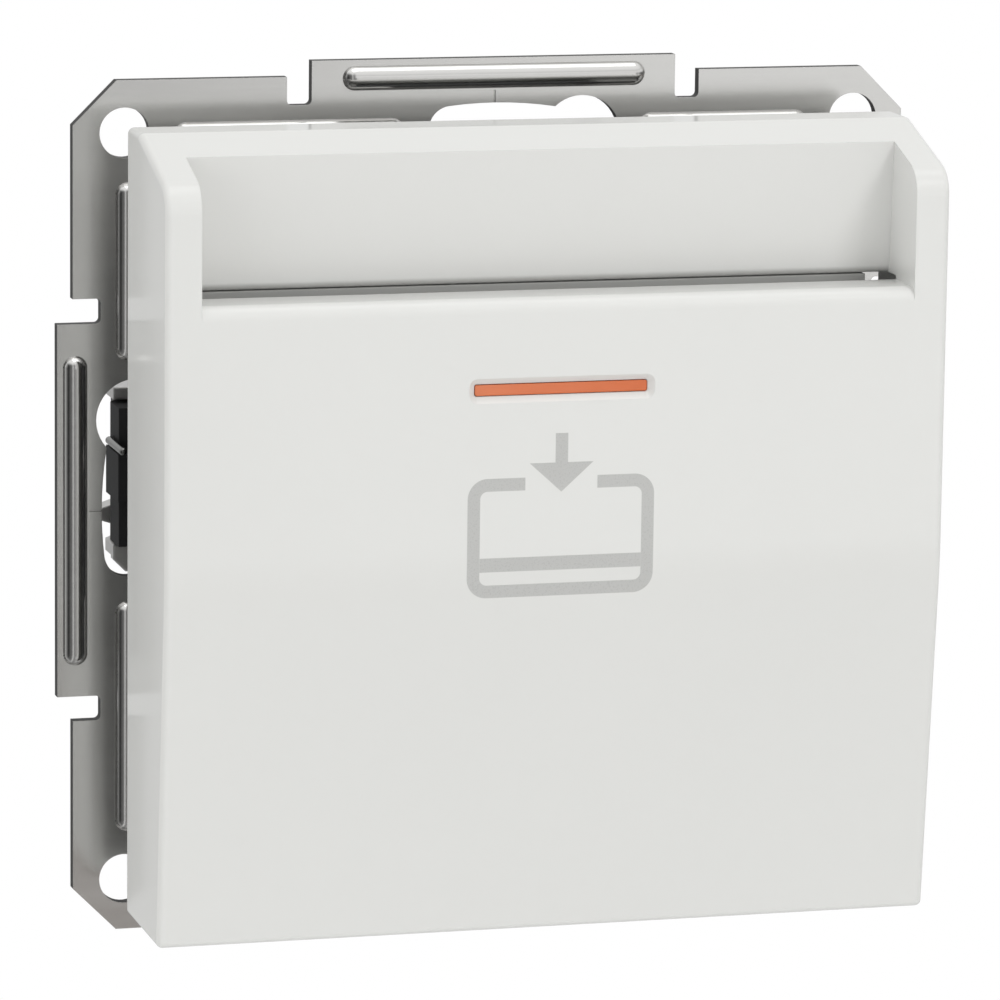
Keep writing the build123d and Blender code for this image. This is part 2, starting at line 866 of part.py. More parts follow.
def lever_spring():
    """A torsion spring round the pin: one leg on the tray's wall, the other behind the flap."""
    wire = lever_spring_wire
    length = 2 * (hinge_gap_half - free_gap) - wire
    turns = lever_spring_quarter_turns / 4
    wound = coil(lever_spring_radius, wire, length, turns, left_hand=True)
    wound = Pos(-length / 2, -hinge_depth, hinge_z) * Rot(0, 90, 0) * Rot(0, 0, 180) * wound
    top = Vector(-length / 2, -hinge_depth, hinge_z + lever_spring_radius)
    wall = Vector(top.X, -tray_rear + running_gap, top.Z)
    rear = Vector(length / 2, -hinge_depth + lever_spring_radius, hinge_z)
    flap_face = -hinge_depth + (lever_wall + wire) / 2 + running_gap
    foot = Vector(rear.X, flap_face, hinge_z - lever_spring_leg)
    return wound + wire_leg(top, wall, wire) + wire_leg(rear, foot, wire)


def lid_screws():
    """Two screws through the lid into the bosses of the base."""
    screws = []
    for x, z in screw_turn_places:
        screws.append(
            slotted_screw(
                x,
                z,
                small_head_radius,
                small_head_height,
                small_slot_width,
                small_slot_depth,
                lid_screw_radius,
                -lid_front,
                lid_screw_length,
            )
        )
    return screws


def switch_lid():
    """The lid: a plate on a low wall, with the plunger's guide and the lamp's opening."""
    lid = centred(2 * lid_half, 2 * lid_half, -lid_front, -lid_rear)
    lid += centred(2 * lid_box_half, 2 * lid_box_half, -lid_rear, -flange_front)
    inner = 2 * (lid_box_half - lid_wall)
    lid -= centred(inner, inner, -lid_rear, -flange_front + overrun)
    turret_width = plunger_width + 2 * (sliding_gap + turret_wall)
    turret_depth = plunger_height + 2 * (sliding_gap + turret_wall)
    turret_front = -lid_front - turret_height
    lid += centred(turret_width, turret_depth, turret_front, -lid_front, 0, plunger_z)
    lid -= centred(
        plunger_width + 2 * sliding_gap,
        plunger_height + 2 * sliding_gap,
        turret_front - overrun,
        -lid_rear,
        0,
        plunger_z,
    )
    opening_width = holder_width + 2 * sliding_gap
    opening_height = holder_height + 2 * sliding_gap
    lid -= centred(opening_width, opening_height, -lid_front - overrun, -lid_rear + overrun, 0, window_z)
    for side in (-1, 1):
        lid -= screw_notch(side)
    for x, z in screw_turn_places:
        lid += rod(x, z, boss_radius, -lid_rear, -flange_front)
        lid -= rod(x, z, lid_screw_radius + sliding_gap, -lid_front - overrun, -flange_front + overrun)
    return lid


def screw_notch(side):
    """The room that the lid leaves for the head of a claw screw, open at the lid's side."""
    radius = claw_head_radius + free_gap
    front = -lid_front - overrun
    room = rod(-claw_screw_x, claw_screw_z, radius, front, -flange_front)
    low = claw_screw_z - radius
    high = claw_screw_z + radius
    room += slab(-lid_half - overrun, -claw_screw_x, front, -flange_front, low, high)
    return turned(room, side)


def chamber_sketch(half_width, half_height, cut, pocket_x, pocket_z):
    """An eight-sided outline with a pocket taken from its left and right sides."""
    outline = chamfer(Rectangle(2 * half_width, 2 * half_height).vertices(), cut)
    depth = half_width - pocket_x + overrun
    for side in (-1, 1):
        outline -= Pos(side * (pocket_x + depth / 2), 0) * Rectangle(depth, 2 * pocket_z)
    return outline


def cheek(side):
    """The block between a claw's flanges, with the ramp that spreads the claw."""
    ramp_end = cheek_x - ramp * (cheek_rear - cheek_ramp_start)
    root = pocket_floor - base_wall / 2
    outline = (
        (-root, pocket_front),
        (-cheek_front_x, pocket_front),
        (-cheek_front_x, cheek_step),
        (-cheek_x, cheek_step),
        (-cheek_x, cheek_ramp_start),
        (-ramp_end, cheek_rear),
        (-root, cheek_rear),
    )
    block = plan_prism(outline, cheek_bottom, cheek_top)
    pad_rear = cheek_ramp_start - (cheek_pad_x - cheek_x) / ramp
    pad_inner = cheek_front_x - cheek_pad_x + cheek_x
    block += slab(-cheek_pad_x, -pad_inner, cheek_pad_front, pad_rear, cheek_pad_bottom, cheek_pad_top)
    return turned(block, side)


def turned(shape, side):
    """A shape made for the left side, turned half round for the right side."""
    return shape if side < 0 else Rot(0, 180, 0) * shape


def switch_base():
    """The black housing: flange, body through the frame, claw cheeks and rear openings."""
    body = chamfer(Rectangle(2 * base_half, 2 * base_half_height).vertices(), base_corner_cut)
    base = front_prism(body, -frame_sheet, base_depth)
    base = chamfer(base.faces().sort_by(Axis.Y)[-1].edges(), base_rear_edge)
    base -= centred(marking_width, marking_height, base_depth - marking_depth, base_depth + overrun)
    flange = RectangleRounded(2 * base_flange_half, 2 * base_flange_half, base_flange_radius)
    base += front_prism(flange, -flange_front, -frame_sheet)
    for x, z in rivet_places():
        side = math.copysign(1, x)
        lug = sorted((side * (base_flange_half - lug_half), side * lug_reach))
        base += slab(*lug, -flange_front, -frame_sheet, z - lug_half, z + lug_half)
        base -= rod(x, z, rivet_radius, -flange_front - overrun, overrun)
    for side in (-1, 1):
        pocket = sorted((side * pocket_floor, side * (base_half + overrun)))
        base -= slab(*pocket, pocket_front, base_depth + overrun, -pocket_half, pocket_half)
        base += cheek(side)
        hole = rod(
            -claw_screw_x,
            claw_screw_z,
            claw_screw_radius + sliding_gap,
            -flange_front - overrun,
            base_depth + overrun,
        )
        base -= turned(hole, side)
        base -= turned(claw_wire_bend(claw_wire_radius + running_gap), side)
    inner = chamber_sketch(
        base_half - base_wall,
        chamber_top,
        base_corner_cut,
        chamber_half,
        pocket_half + base_wall,
    )
    base -= front_prism(inner, -flange_front - overrun, chamber_rear)
    bridge = centred(
        2 * chamber_half + base_wall,
        2 * bridge_half_height,
        bridge_front,
        bridge_front + bridge_wall,
        0,
        plunger_z,
    )
    base += bridge
    stem_hole = plunger_stem_radius + free_gap
    base -= rod(0, plunger_z, stem_hole, bridge_front - overrun, bridge_front + bridge_wall + overrun)
    for x, z in screw_turn_places:
        base += rod(x, z, boss_radius, -flange_front, boss_depth)
        base -= rod(x, z, lid_screw_radius, -flange_front - overrun, boss_depth - base_wall)
    base += rod(0, contact_coil_z, contact_post_radius, chamber_rear - contact_post_length, chamber_rear)
    for x, z in terminal_places:
        base -= rod(x, z, wire_hole_radius, chamber_rear - overrun, base_depth + overrun)
        mouth = base_depth - wire_funnel_depth
        base -= funnel(x, z, wire_hole_radius, wire_funnel_radius, mouth, base_depth)
        lever_z = math.copysign(release_centre(), z)
        base -= centred(
            release_width + 2 * sliding_gap,
            release_height + 2 * sliding_gap,
            chamber_rear - overrun,
            base_depth + overrun,
            x,
            lever_z,
        )
    return base


def release_centre():
    """How far from the middle the wire release levers lie."""
    return chamber_top - clamp_top_gap - clamp_sheet - free_gap - release_height / 2


def claw():
    """The left claw: two flanges beside the cheek, a web on its ramp and a fork for the nut."""
    gap = free_gap / math.cos(math.radians(ramp_angle))
    sheet = claw_sheet / math.cos(math.radians(ramp_angle))
    top = cheek_top + free_gap
    bottom = cheek_bottom - free_gap

    def web_x(y, offset):
        """The web's place at a depth: its inner face at offset zero."""
        return -cheek_x - gap - offset + ramp * (y - cheek_ramp_start)

    bend_y = cheek_ramp_start + (cheek_x + gap + sheet - claw_reach) / ramp
    flange = (
        (-claw_inner, claw_front),
        (-claw_reach, claw_front),
        (-claw_reach, bend_y),
        (web_x(claw_rear, sheet), claw_rear),
        (-claw_inner, claw_rear),
    )
    shape = plan_prism(flange, top, top + claw_sheet)
    shape += plan_prism(flange, bottom - claw_sheet, bottom)
    web_y = bend_y + claw_web_start
    web = (
        (web_x(web_y, 0), web_y),
        (web_x(web_y, sheet), web_y),
        (web_x(claw_rear, sheet), claw_rear),
        (web_x(claw_rear, 0), claw_rear),
    )
    shape += plan_prism(web, bottom, top)
    shape += slab(web_x(claw_rear, sheet), -claw_inner, claw_rear - claw_sheet, claw_rear, bottom, top)
    throat = claw_screw_radius + sliding_gap
    shape -= slab(
        -claw_screw_x - throat,
        -claw_inner + overrun,
        claw_rear - claw_sheet - overrun,
        claw_rear + overrun,
        claw_screw_z - throat,
        claw_screw_z + throat,
    )
    shape += claw_tooth(bend_y, web_y + claw_sheet)
    lip_bottom = bottom - claw_sheet - claw_lip_height
    lip_rear = claw_front + claw_sheet
    shape += slab(-claw_reach, -claw_inner, claw_front, lip_rear, lip_bottom, bottom - claw_sheet)
    cut = (
        (-claw_reach - overrun, lip_bottom + claw_lip_cut + overrun),
        (-claw_reach + claw_lip_cut + overrun, lip_bottom - overrun),
        (-claw_reach - overrun, lip_bottom - overrun),
    )
    return shape - front_prism(make_face(Polyline(*cut, close=True)), claw_front, claw_rear)


def claw_tooth(start, end):
    """The tooth in front of the web, which bites into the wall box."""
    root = -claw_reach + claw_tooth_bed
    tip = -claw_reach - claw_tooth_reach
    outline = (
        (root, claw_tooth_z + claw_tooth_root / 2),
        (tip, claw_tooth_z + claw_tooth_tip / 2),
        (tip, claw_tooth_z - claw_tooth_tip / 2),
        (root, claw_tooth_z - claw_tooth_root / 2),
    )
    return front_prism(make_face(Polyline(*outline, close=True)), start, end)


def claw_screw():
    """The left claw's screw: head in front of the base's flange, shank back to the nut."""
    return slotted_screw(
        -claw_screw_x,
        claw_screw_z,
        claw_head_radius,
        claw_head_height,
        claw_head_slot,
        claw_head_slot_depth,
        claw_screw_radius,
        -flange_front,
        flange_front + claw_screw_end,
    )


def claw_nut():
    """The left claw's square nut behind the fork."""
    start = claw_rear + running_gap
    nut = centred(claw_nut_side, claw_nut_side, start, start + claw_nut_height, -claw_screw_x, claw_screw_z)
    bore = claw_screw_radius + running_gap
    return nut - rod(-claw_screw_x, claw_screw_z, bore, start - overrun, start + overrun)


def claw_wire_place():
    """Where the wire spring lies beside the left cheek, in X and Z."""
    x = -cheek_x - claw_wire_radius - running_gap
    return x, cheek_pad_top + claw_wire_radius + sliding_gap


def claw_wire_bend(radius):
    """The bent end of the wire spring, which is held in the cheek."""
    x, z = claw_wire_place()
    return axle(claw_wire_rear, z, radius, x, x + claw_wire_anchor)


def claw_springs():
    """A wire spring on each cheek: a straight leg along its side with a bent, anchored end."""
    x, z = claw_wire_place()
    wire = rod(x, z, claw_wire_radius, claw_wire_front, claw_wire_rear)
    wire += Pos(x, claw_wire_rear, z) * Sphere(claw_wire_radius)
    wire += Pos(x, claw_wire_front, z) * Sphere(claw_wire_radius)
    wire += claw_wire_bend(claw_wire_radius)
    return [turned(wire, side) for side in (-1, 1)]


def plunger():
    """The button: a block in the lid's guide, a collar behind the lid and a round stem."""
    nose_y = plunger_nose_radius - plunger_front
    half = plunger_width / 2
    nose = axle(nose_y, plunger_z, plunger_nose_radius, -half, half)
    block_rear = -lid_rear + free_gap
    button = centred(plunger_width, plunger_height, nose_y, block_rear, 0, plunger_z)
    button += nose & centred(plunger_width, plunger_height, -plunger_front, nose_y, 0, plunger_z)
    collar_rear = block_rear + plunger_collar_height
    collar_width = plunger_width + 2 * plunger_collar
    collar_height = plunger_height + 2 * plunger_collar
    button += centred(collar_width, collar_height, block_rear, collar_rear, 0, plunger_z)
    stem_end = plunger_rear - plunger_stem_radius
    button += rod(0, plunger_z, plunger_stem_radius, collar_rear, stem_end)
    return button + Pos(0, stem_end, plunger_z) * Sphere(plunger_stem_radius)


def plunger_spring():
    """A coil round the stem, between the collar and the bridge of the base."""
    start = -lid_rear + free_gap + plunger_collar_height + running_gap
    end = bridge_front - running_gap
    return coil_along_y(
        0, plunger_z, start, end, plunger_coil_radius, plunger_coil_wire, plunger_coil_turns
    )


def contact_arm():
    """The rocker: a strip that ends in an eye round the pivot pin."""
    front = pivot_y - arm_sheet / 2
    rear = pivot_y + arm_sheet / 2
    half = arm_width / 2
    arm = slab(-half, half, front, rear, pivot_z, arm_top)
    arm += axle(pivot_y, pivot_z, pivot_eye_radius, -half, half)
    arm -= axle(pivot_y, pivot_z, pivot_pin_radius + running_gap, -arm_width, arm_width)
    return arm - rod(0, contact_z, rivet_tip_shank, front - overrun, rear + overrun)


def moving_contact():
    """A silver rivet with a head on both sides of the arm."""
    front = pivot_y - arm_sheet / 2
    rear = pivot_y + arm_sheet / 2
    tip = rod(0, contact_z, rivet_tip_shank, front, rear)
    tip += rod(0, contact_z, rivet_tip_radius, front - rivet_tip_height, front)
    return tip + rod(0, contact_z, rivet_tip_radius, rear, rear + rivet_tip_height)


def break_tip_y():
    """Rear face of the front contact, which the arm rests on."""
    return pivot_y - arm_sheet / 2 - rivet_tip_height - free_gap


def break_plate_y():
    """Front face of the strip that carries the front contact."""
    return break_tip_y() - fixed_tip_height - terminal_sheet


def fixed_contacts():
    """The two silver rivets on the strips, in front of and behind the arm."""
    break_tip = break_tip_y()
    return [
        rod(0, contact_z, fixed_tip_radius, break_tip - fixed_tip_height, break_tip),
        rod(0, contact_z, fixed_tip_radius, make_tip_y, make_tip_y + fixed_tip_height),
    ]


def contact_pin():
    """The pivot pin of the arm, held in the ears of the common strip."""
    end = arm_width / 2 + sliding_gap + ear_sheet
    return axle(pivot_y, pivot_z, pivot_pin_radius, -end, end)


def contact_spring():
    """The arm's return spring, on a post of the rear wall."""
    start = pivot_y + arm_sheet / 2 + running_gap
    end = chamber_rear - running_gap
    return coil_along_y(
        0, contact_coil_z, start, end, contact_coil_radius, contact_coil_wire, contact_coil_turns
    )


def terminal_bar(x, z, front):
    """The flat bar that a wire is pressed against, on the inner side of its hole."""
    inner = math.copysign(bar_z - terminal_sheet, z)
    outer = math.copysign(bar_z, z)
    half = terminal_width / 2
    rear = chamber_rear - terminal_rear_gap
    return slab(x - half, x + half, front, rear, *sorted((inner, outer)))


def common_terminal():
    """The lower strip, with two ears that carry the arm's pin."""
    x, z = terminal_places[0]
    inner = arm_width / 2 + sliding_gap
    outer = inner + ear_sheet
    strip = terminal_bar(x, z, terminal_bar_front)
    bar = sorted((math.copysign(bar_z - terminal_sheet, z), math.copysign(bar_z, z)))
    strip += slab(-outer, outer, terminal_bar_front, ear_rear, *bar)
    for side in (-1, 1):
        span = sorted((side * inner, side * outer))
        strip += slab(*span, ear_front, ear_rear, ear_bottom, ear_top)
    return strip - axle(pivot_y, pivot_z, pivot_pin_radius, -arm_width, arm_width)


def contact_strip(place, plate_y):
    """An upper strip: its bar, and a plate that hangs down to the contact in the middle."""
    x, z = place
    side = math.copysign(1, x)
    far = x + side * terminal_width / 2
    near_edge = -side * contact_plate_side
    plate = slab(*sorted((far, near_edge)), plate_y, plate_y + terminal_sheet, contact_plate_bottom, bar_z)
    return terminal_bar(x, z, plate_y) + plate


def make_terminal():
    """The strip behind the arm, which the card switches on."""
    return contact_strip(terminal_places[1], make_tip_y + fixed_tip_height)


def break_terminal():
    """The strip in front of the arm."""
    return contact_strip(terminal_places[2], break_plate_y())


def clamp_outline(z):
    """The folded leaf of one wire clamp, as (y, z) points, above or below the middle."""
    out = math.copysign(1, z)
    top = chamber_top - clamp_top_gap
    tip = terminal_z - clamp_tip_drop
    points = (
        (clamp_front - clamp_sheet, top),
        (clamp_rear, top),
        (clamp_rear, top - clamp_sheet),
        (clamp_front + clamp_sheet, top - clamp_sheet),
        (clamp_tip_y, tip),
        (clamp_tip_y - clamp_sheet, tip - clamp_sheet),
        (clamp_front - clamp_sheet, top - 2 * clamp_sheet),
    )
    return [(y, out * height) for y, height in points]


def clamp_springs():
    """One folded leaf spring for each terminal."""
    half = clamp_width / 2
    return [side_prism(clamp_outline(z), x - half, x + half) for x, z in terminal_places]


def release_lever(x, z):
    """A push button in the rear wall whose slanted end lies behind a clamp's leaf."""
    out = math.copysign(1, z)
    low = release_centre() - release_height / 2
    high = release_centre() + release_height / 2
    top = chamber_top - clamp_top_gap - clamp_sheet
    tip = terminal_z - clamp_tip_drop
    run = (clamp_tip_y - clamp_front - clamp_sheet) / (top - tip)

    def leaf_y(height):
        """Rear side of the slanted leaf at a height, plus the gap to the lever."""
        return clamp_front + clamp_sheet + run * (top - height) + 2 * free_gap

    points = (
        (leaf_y(high), out * high),
        (release_rear, out * high),
        (release_rear, out * low),
        (leaf_y(low), out * low),
    )
    half = release_width / 2
    lever = side_prism(points, x - half, x + half)
    collar_rear = chamber_rear - free_gap
    collar = half + release_collar
    heights = sorted((out * low, out * high))
    return lever + slab(x - collar, x + collar, collar_rear - release_collar_depth, collar_rear, *heights)


def pieces():
    """Every node of the object with its solids."""
    nodes = {
        "support_frame": support_frame(),
        "frame_rivets": frame_rivets(),
        "centre_plate": centre_plate(),
        "indicator_lens": indicator_lens(),
        "card_guide": card_guide(),
        "guide_screws": guide_screws(),
        "light_guide": light_guide(),
        "lamp_holder": lamp_holder(),
        "lamp_board": lamp_board(),
        "indicator_lamp": indicator_lamp(),
        "lamp_pins": lamp_pins(),
        "card_lever": card_lever(),
        "lever_pin": lever_pin(),
        "lever_spring": lever_spring(),
        "lid_screws": lid_screws(),
        "switch_lid": switch_lid(),
        "switch_base": switch_base(),
        "claw_springs": claw_springs(),
        "plunger": plunger(),
        "plunger_spring": plunger_spring(),
        "contact_arm": contact_arm(),
        "moving_contact": moving_contact(),
        "fixed_contacts": fixed_contacts(),
        "contact_pin": contact_pin(),
        "contact_spring": contact_spring(),
        "common_terminal": common_terminal(),
        "make_terminal": make_terminal(),
        "break_terminal": break_terminal(),
        "clamp_springs": clamp_springs(),
    }
    for number, (x, z) in enumerate(terminal_places, start=1):
        nodes[f"release_lever_{number}"] = release_lever(x, z)
    for name, side in (("left", -1), ("right", 1)):
        nodes[f"{name}_claw"] = turned(claw(), side)
        nodes[f"{name}_claw_screw"] = turned(claw_screw(), side)
        nodes[f"{name}_claw_nut"] = turned(claw_nut(), side)
    return nodes


def write_parts():
    """Writes each node to its own file."""
    os.makedirs("parts", exist_ok=True)
    for name, shape in pieces().items():
        solids = shape if isinstance(shape, list) else [shape]
        bodies = [body for piece in solids for body in piece.solids()]
        export_step(Compound(children=bodies) if len(bodies) > 1 else bodies[0], f"parts/{name}.step")


write_parts()
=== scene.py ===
"""Finishes, small parts, camera and light for a hotel key card switch."""

import json
import math

import bmesh
import bpy
from mathutils import Matrix, Vector


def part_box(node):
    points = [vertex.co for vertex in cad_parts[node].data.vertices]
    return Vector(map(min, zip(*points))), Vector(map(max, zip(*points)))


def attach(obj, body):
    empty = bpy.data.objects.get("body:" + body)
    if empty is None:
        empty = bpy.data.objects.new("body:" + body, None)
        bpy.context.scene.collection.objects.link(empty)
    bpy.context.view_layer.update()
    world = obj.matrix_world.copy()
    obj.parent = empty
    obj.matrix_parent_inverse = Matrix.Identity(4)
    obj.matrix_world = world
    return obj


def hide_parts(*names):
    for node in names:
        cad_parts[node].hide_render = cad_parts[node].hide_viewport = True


bl_info = {
    "name": "Hotel key card switch",
    "version": (1, 0, 0),
    "blender": (4, 5, 0),
    "location": "View3D > Sidebar > Card switch",
    "description": "Gives a key card switch its finishes, its small parts and its studio",
    "category": "Object",
}

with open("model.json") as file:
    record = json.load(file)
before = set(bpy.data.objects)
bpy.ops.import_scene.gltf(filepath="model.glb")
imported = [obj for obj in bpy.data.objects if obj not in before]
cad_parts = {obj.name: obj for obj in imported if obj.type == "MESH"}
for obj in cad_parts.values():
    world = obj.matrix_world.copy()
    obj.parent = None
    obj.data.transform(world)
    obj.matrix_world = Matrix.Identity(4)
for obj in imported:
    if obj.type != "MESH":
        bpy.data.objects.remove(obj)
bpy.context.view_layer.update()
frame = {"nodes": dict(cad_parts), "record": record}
NODES = frame["nodes"]
BODIES = frame["record"]["behaviour"]["bodies"]
MM = 0.001


# Grain of the plastics, in waves to a metre, and the rounding of metal and plastic edges in
# millimetres
FLOW_SCALE = 60.0
GRAIN_SCALE = 9000.0
MOULDED_EDGE = 0.12
EDGE_SAMPLES = 6

# How squarely a face has to look forwards or backwards to carry the sign or the marks
SQUARE_FACE = 0.9

# The printed sign, in millimetres. The sign's own settings hold its card
COVER_FRONT = 20.4
STRIPE_RISE = 2.6
STRIPE_INSET = 1.0
STRIPE_HALF = 0.55
SHAFT_RISE = 1.95
SHAFT_HALF = 1.45
TIP_DEPTH = 1.2
HEAD_HEIGHT = 2.3
HEAD_SLOPE = 0.9
GAP_HALF = (2.9, 1.6)

# Marks on the housing's back, in millimetres. A block has its middle across and up, then its half
# width and half height
HOUSING_REAR = 21.0
MARK_SOFTNESS = 0.06
LINE_HALF = 0.12
TICK_BLOCK = (0.0, -2.2, 5.6, 0.8)
GAUGE_BLOCKS = (
    (0.0, -3.1, 5.6, 0.15),
    (2.4, 1.2, 3.2, 0.35),
    (-3.2, 1.2, 2.4, 0.9),
)

# Arrows to the release buttons: middle across, foot, and height, which is negative for downwards
BUTTON_ARROWS = ((0.0, -9.8, -2.0), (9.5, 9.8, 2.0), (-9.5, 9.8, 2.0))
ARROW_SLOPE = 0.6
EJECTOR_RINGS = ((13.5, -14.5), (-13.5, -14.5), (0.0, 15.5))
EJECTOR_RADIUS = 1.7

# The claw screws. Shares are of the pitch, and the thread's root is sunk in the core
HEAD_STEPS = 40
THREAD_STEPS = 20
THREAD_DEPTH_SHARE = 0.6
THREAD_FLANK_SHARE = 0.44
THREAD_SINK = 0.05
MERGE_DISTANCE = 0.000001

# The room that gloss mirrors in front of the switch, painted in this order. A band has its
# direction, where it starts and ends along it (None leaves that side open), the width of its soft
# edge, and its grey or colour
FRONT_GREY = 0.40
FRONT_BANDS = (
    ("across", 0.215, None, 0.04, 1.10),
    ("across", 0.46, None, 0.12, 0.32),
    ("across", 0.62, 0.72, 0.06, 0.62),
    ("across", 0.86, None, 0.08, 0.05),
    ("up", None, -0.225, 0.02, (0.25, 0.21, 0.185)),
    ("up", None, -0.36, 0.06, 0.42),
    ("up", -0.66, -0.56, 0.08, 0.80),
    ("up", None, -0.72, 0.06, 0.50),
    ("up", 0.08, None, 0.16, 1.0),
    ("up", 0.36, 0.48, 0.08, 0.80),
    ("left", 0.04, None, 0.1, 0.30),
    ("left", 0.34, 0.44, 0.08, 0.95),
    ("left", 0.56, None, 0.12, 0.15),
    ("left", 0.82, None, 0.06, 0.04),
)

# The same behind the switch, and over both
BEHIND_GREY = 0.52
BEHIND_BANDS = (
    ("up", 0.07, None, 0.1, 0.75),
    ("up", None, -0.85, 0.1, 0.25),
)
CEILING_BAND = ("up", 0.62, None, 0.3, 1.1)
SKY_COLOUR = (0.99, 0.995, 0.975, 1.0)
WHITE = (1.0, 1.0, 1.0, 1.0)

# The floor's half width and where it fades to white, in metres, and the light it adds to itself
FLOOR_HALF = 3.0
FLOOR_FADE = 0.42
FLOOR_FADE_WIDTH = 0.16
FLOOR_LIFT = 0.3

# Lamps: place, width and height in metres, and whether gloss mirrors the lamp
LAMP_AIM = (0.0, -0.01, 0.0)
LAMPS = {
    "key": ((0.50, -0.85, 0.75), (0.35, 0.35), False),
    "fill": ((-0.9, -0.6, 0.15), (0.8, 0.8), False),
    "top": ((0.05, -0.15, 1.1), (0.8, 0.6), True),
    "back": ((0.35, 0.95, 0.55), (0.7, 0.5), False),
}

# The camera: lens and sensor in millimetres, its place in metres, and the directions of its picture
CAMERA_LENS = 223.69
CAMERA_SENSOR = 36.0
CAMERA_NEAR = 0.05
CAMERA_FAR = 20.0
CAMERA_PLACE = (-0.130830, -0.476322, 0.090534)
PICTURE_RIGHT = (0.9642175870823521, -0.26483753185511166, 0.012063435745237768)
PICTURE_DOWN = (-0.03656953460724292, -0.17793444765615543, -0.983362599185015)
PICTURE_AHEAD = (0.26257782446295125, 0.9477343583822375, -0.18125250906432158)


# Shader building

class Value:
    """A shader socket that can stand in a Python expression."""

    def __init__(self, finish, socket):
        self.finish = finish
        self.socket = socket

    def maths(self, operation, *others, clamp=False):
        """A Math node on this value and others."""
        inputs = {index: item for index, item in enumerate((self,) + others)}
        settings = {"operation": operation, "use_clamp": clamp}
        return self.finish.node("ShaderNodeMath", settings, inputs)

    def flipped(self, operation, other):
        """A Math node whose first input is another number."""
        settings = {"operation": operation}
        return self.finish.node("ShaderNodeMath", settings, {0: other, 1: self})

    def __add__(self, other):
        return self.maths("ADD", other)

    def __radd__(self, other):
        return self.flipped("ADD", other)

    def __sub__(self, other):
        return self.maths("SUBTRACT", other)

    def __rsub__(self, other):
        return self.flipped("SUBTRACT", other)

    def __mul__(self, other):
        return self.maths("MULTIPLY", other)

    def __rmul__(self, other):
        return self.flipped("MULTIPLY", other)

    def __truediv__(self, other):
        return self.maths("DIVIDE", other)

    def __rtruediv__(self, other):
        return self.flipped("DIVIDE", other)

    def __pow__(self, other):
        return self.maths("POWER", other)

    def __abs__(self):
        return self.maths("ABSOLUTE")

    def above(self, limit, soft=0.0):
        """One where the value is above a limit, with a soft step of a given width."""
        if soft == 0.0:
            return self.maths("GREATER_THAN", limit)
        return ((self - (limit - soft / 2)) / soft).maths("ADD", 0.0, clamp=True)

    def larger(self, other):
        """The larger of two values."""
        return self.maths("MAXIMUM", other)


class Nodes:
    """A node tree under construction."""

    def __init__(self, owner):
        owner.use_nodes = True
        self.tree = owner.node_tree
        self.tree.nodes.clear()

    def connect(self, socket, value):
        """Gives a socket a constant, or the link of a value."""
        if isinstance(value, Value):
            self.tree.links.new(value.socket, socket)
        else:
            socket.default_value = value

    def node(self, kind, settings=None, inputs=None, out=0):
        """Makes a node, sets it up, fills its sockets and returns one output."""
        made = self.tree.nodes.new(kind)
        for key, value in (settings or {}).items():
            setattr(made, key, value)
        for key, value in (inputs or {}).items():
            self.connect(made.inputs[key], value)
        return Value(self, made.outputs[out]) if made.outputs else None

    def blend(self, mask, low, high):
        """Two colours mixed by a mask, through the colour sockets of a Mix node."""
        settings = {"data_type": "RGBA"}
        inputs = {0: mask, 6: low, 7: high}
        return self.node("ShaderNodeMix", settings, inputs, out=2)

    def mixed(self, mask, first, second):
        """Two shaders mixed by a mask."""
        return self.node("ShaderNodeMixShader", inputs={0: mask, 1: first, 2: second})

    def parts(self, vector):
        """The three numbers of a vector."""
        made = self.node("ShaderNodeSeparateXYZ", inputs={0: vector}).socket.node
        return [Value(self, made.outputs[i]) for i in range(3)]

    def rays(self, *kinds):
        """One mask for each kind of ray that is named."""
        made = self.node("ShaderNodeLightPath").socket.node
        return [Value(self, made.outputs[f"Is {kind} Ray"]) for kind in kinds]


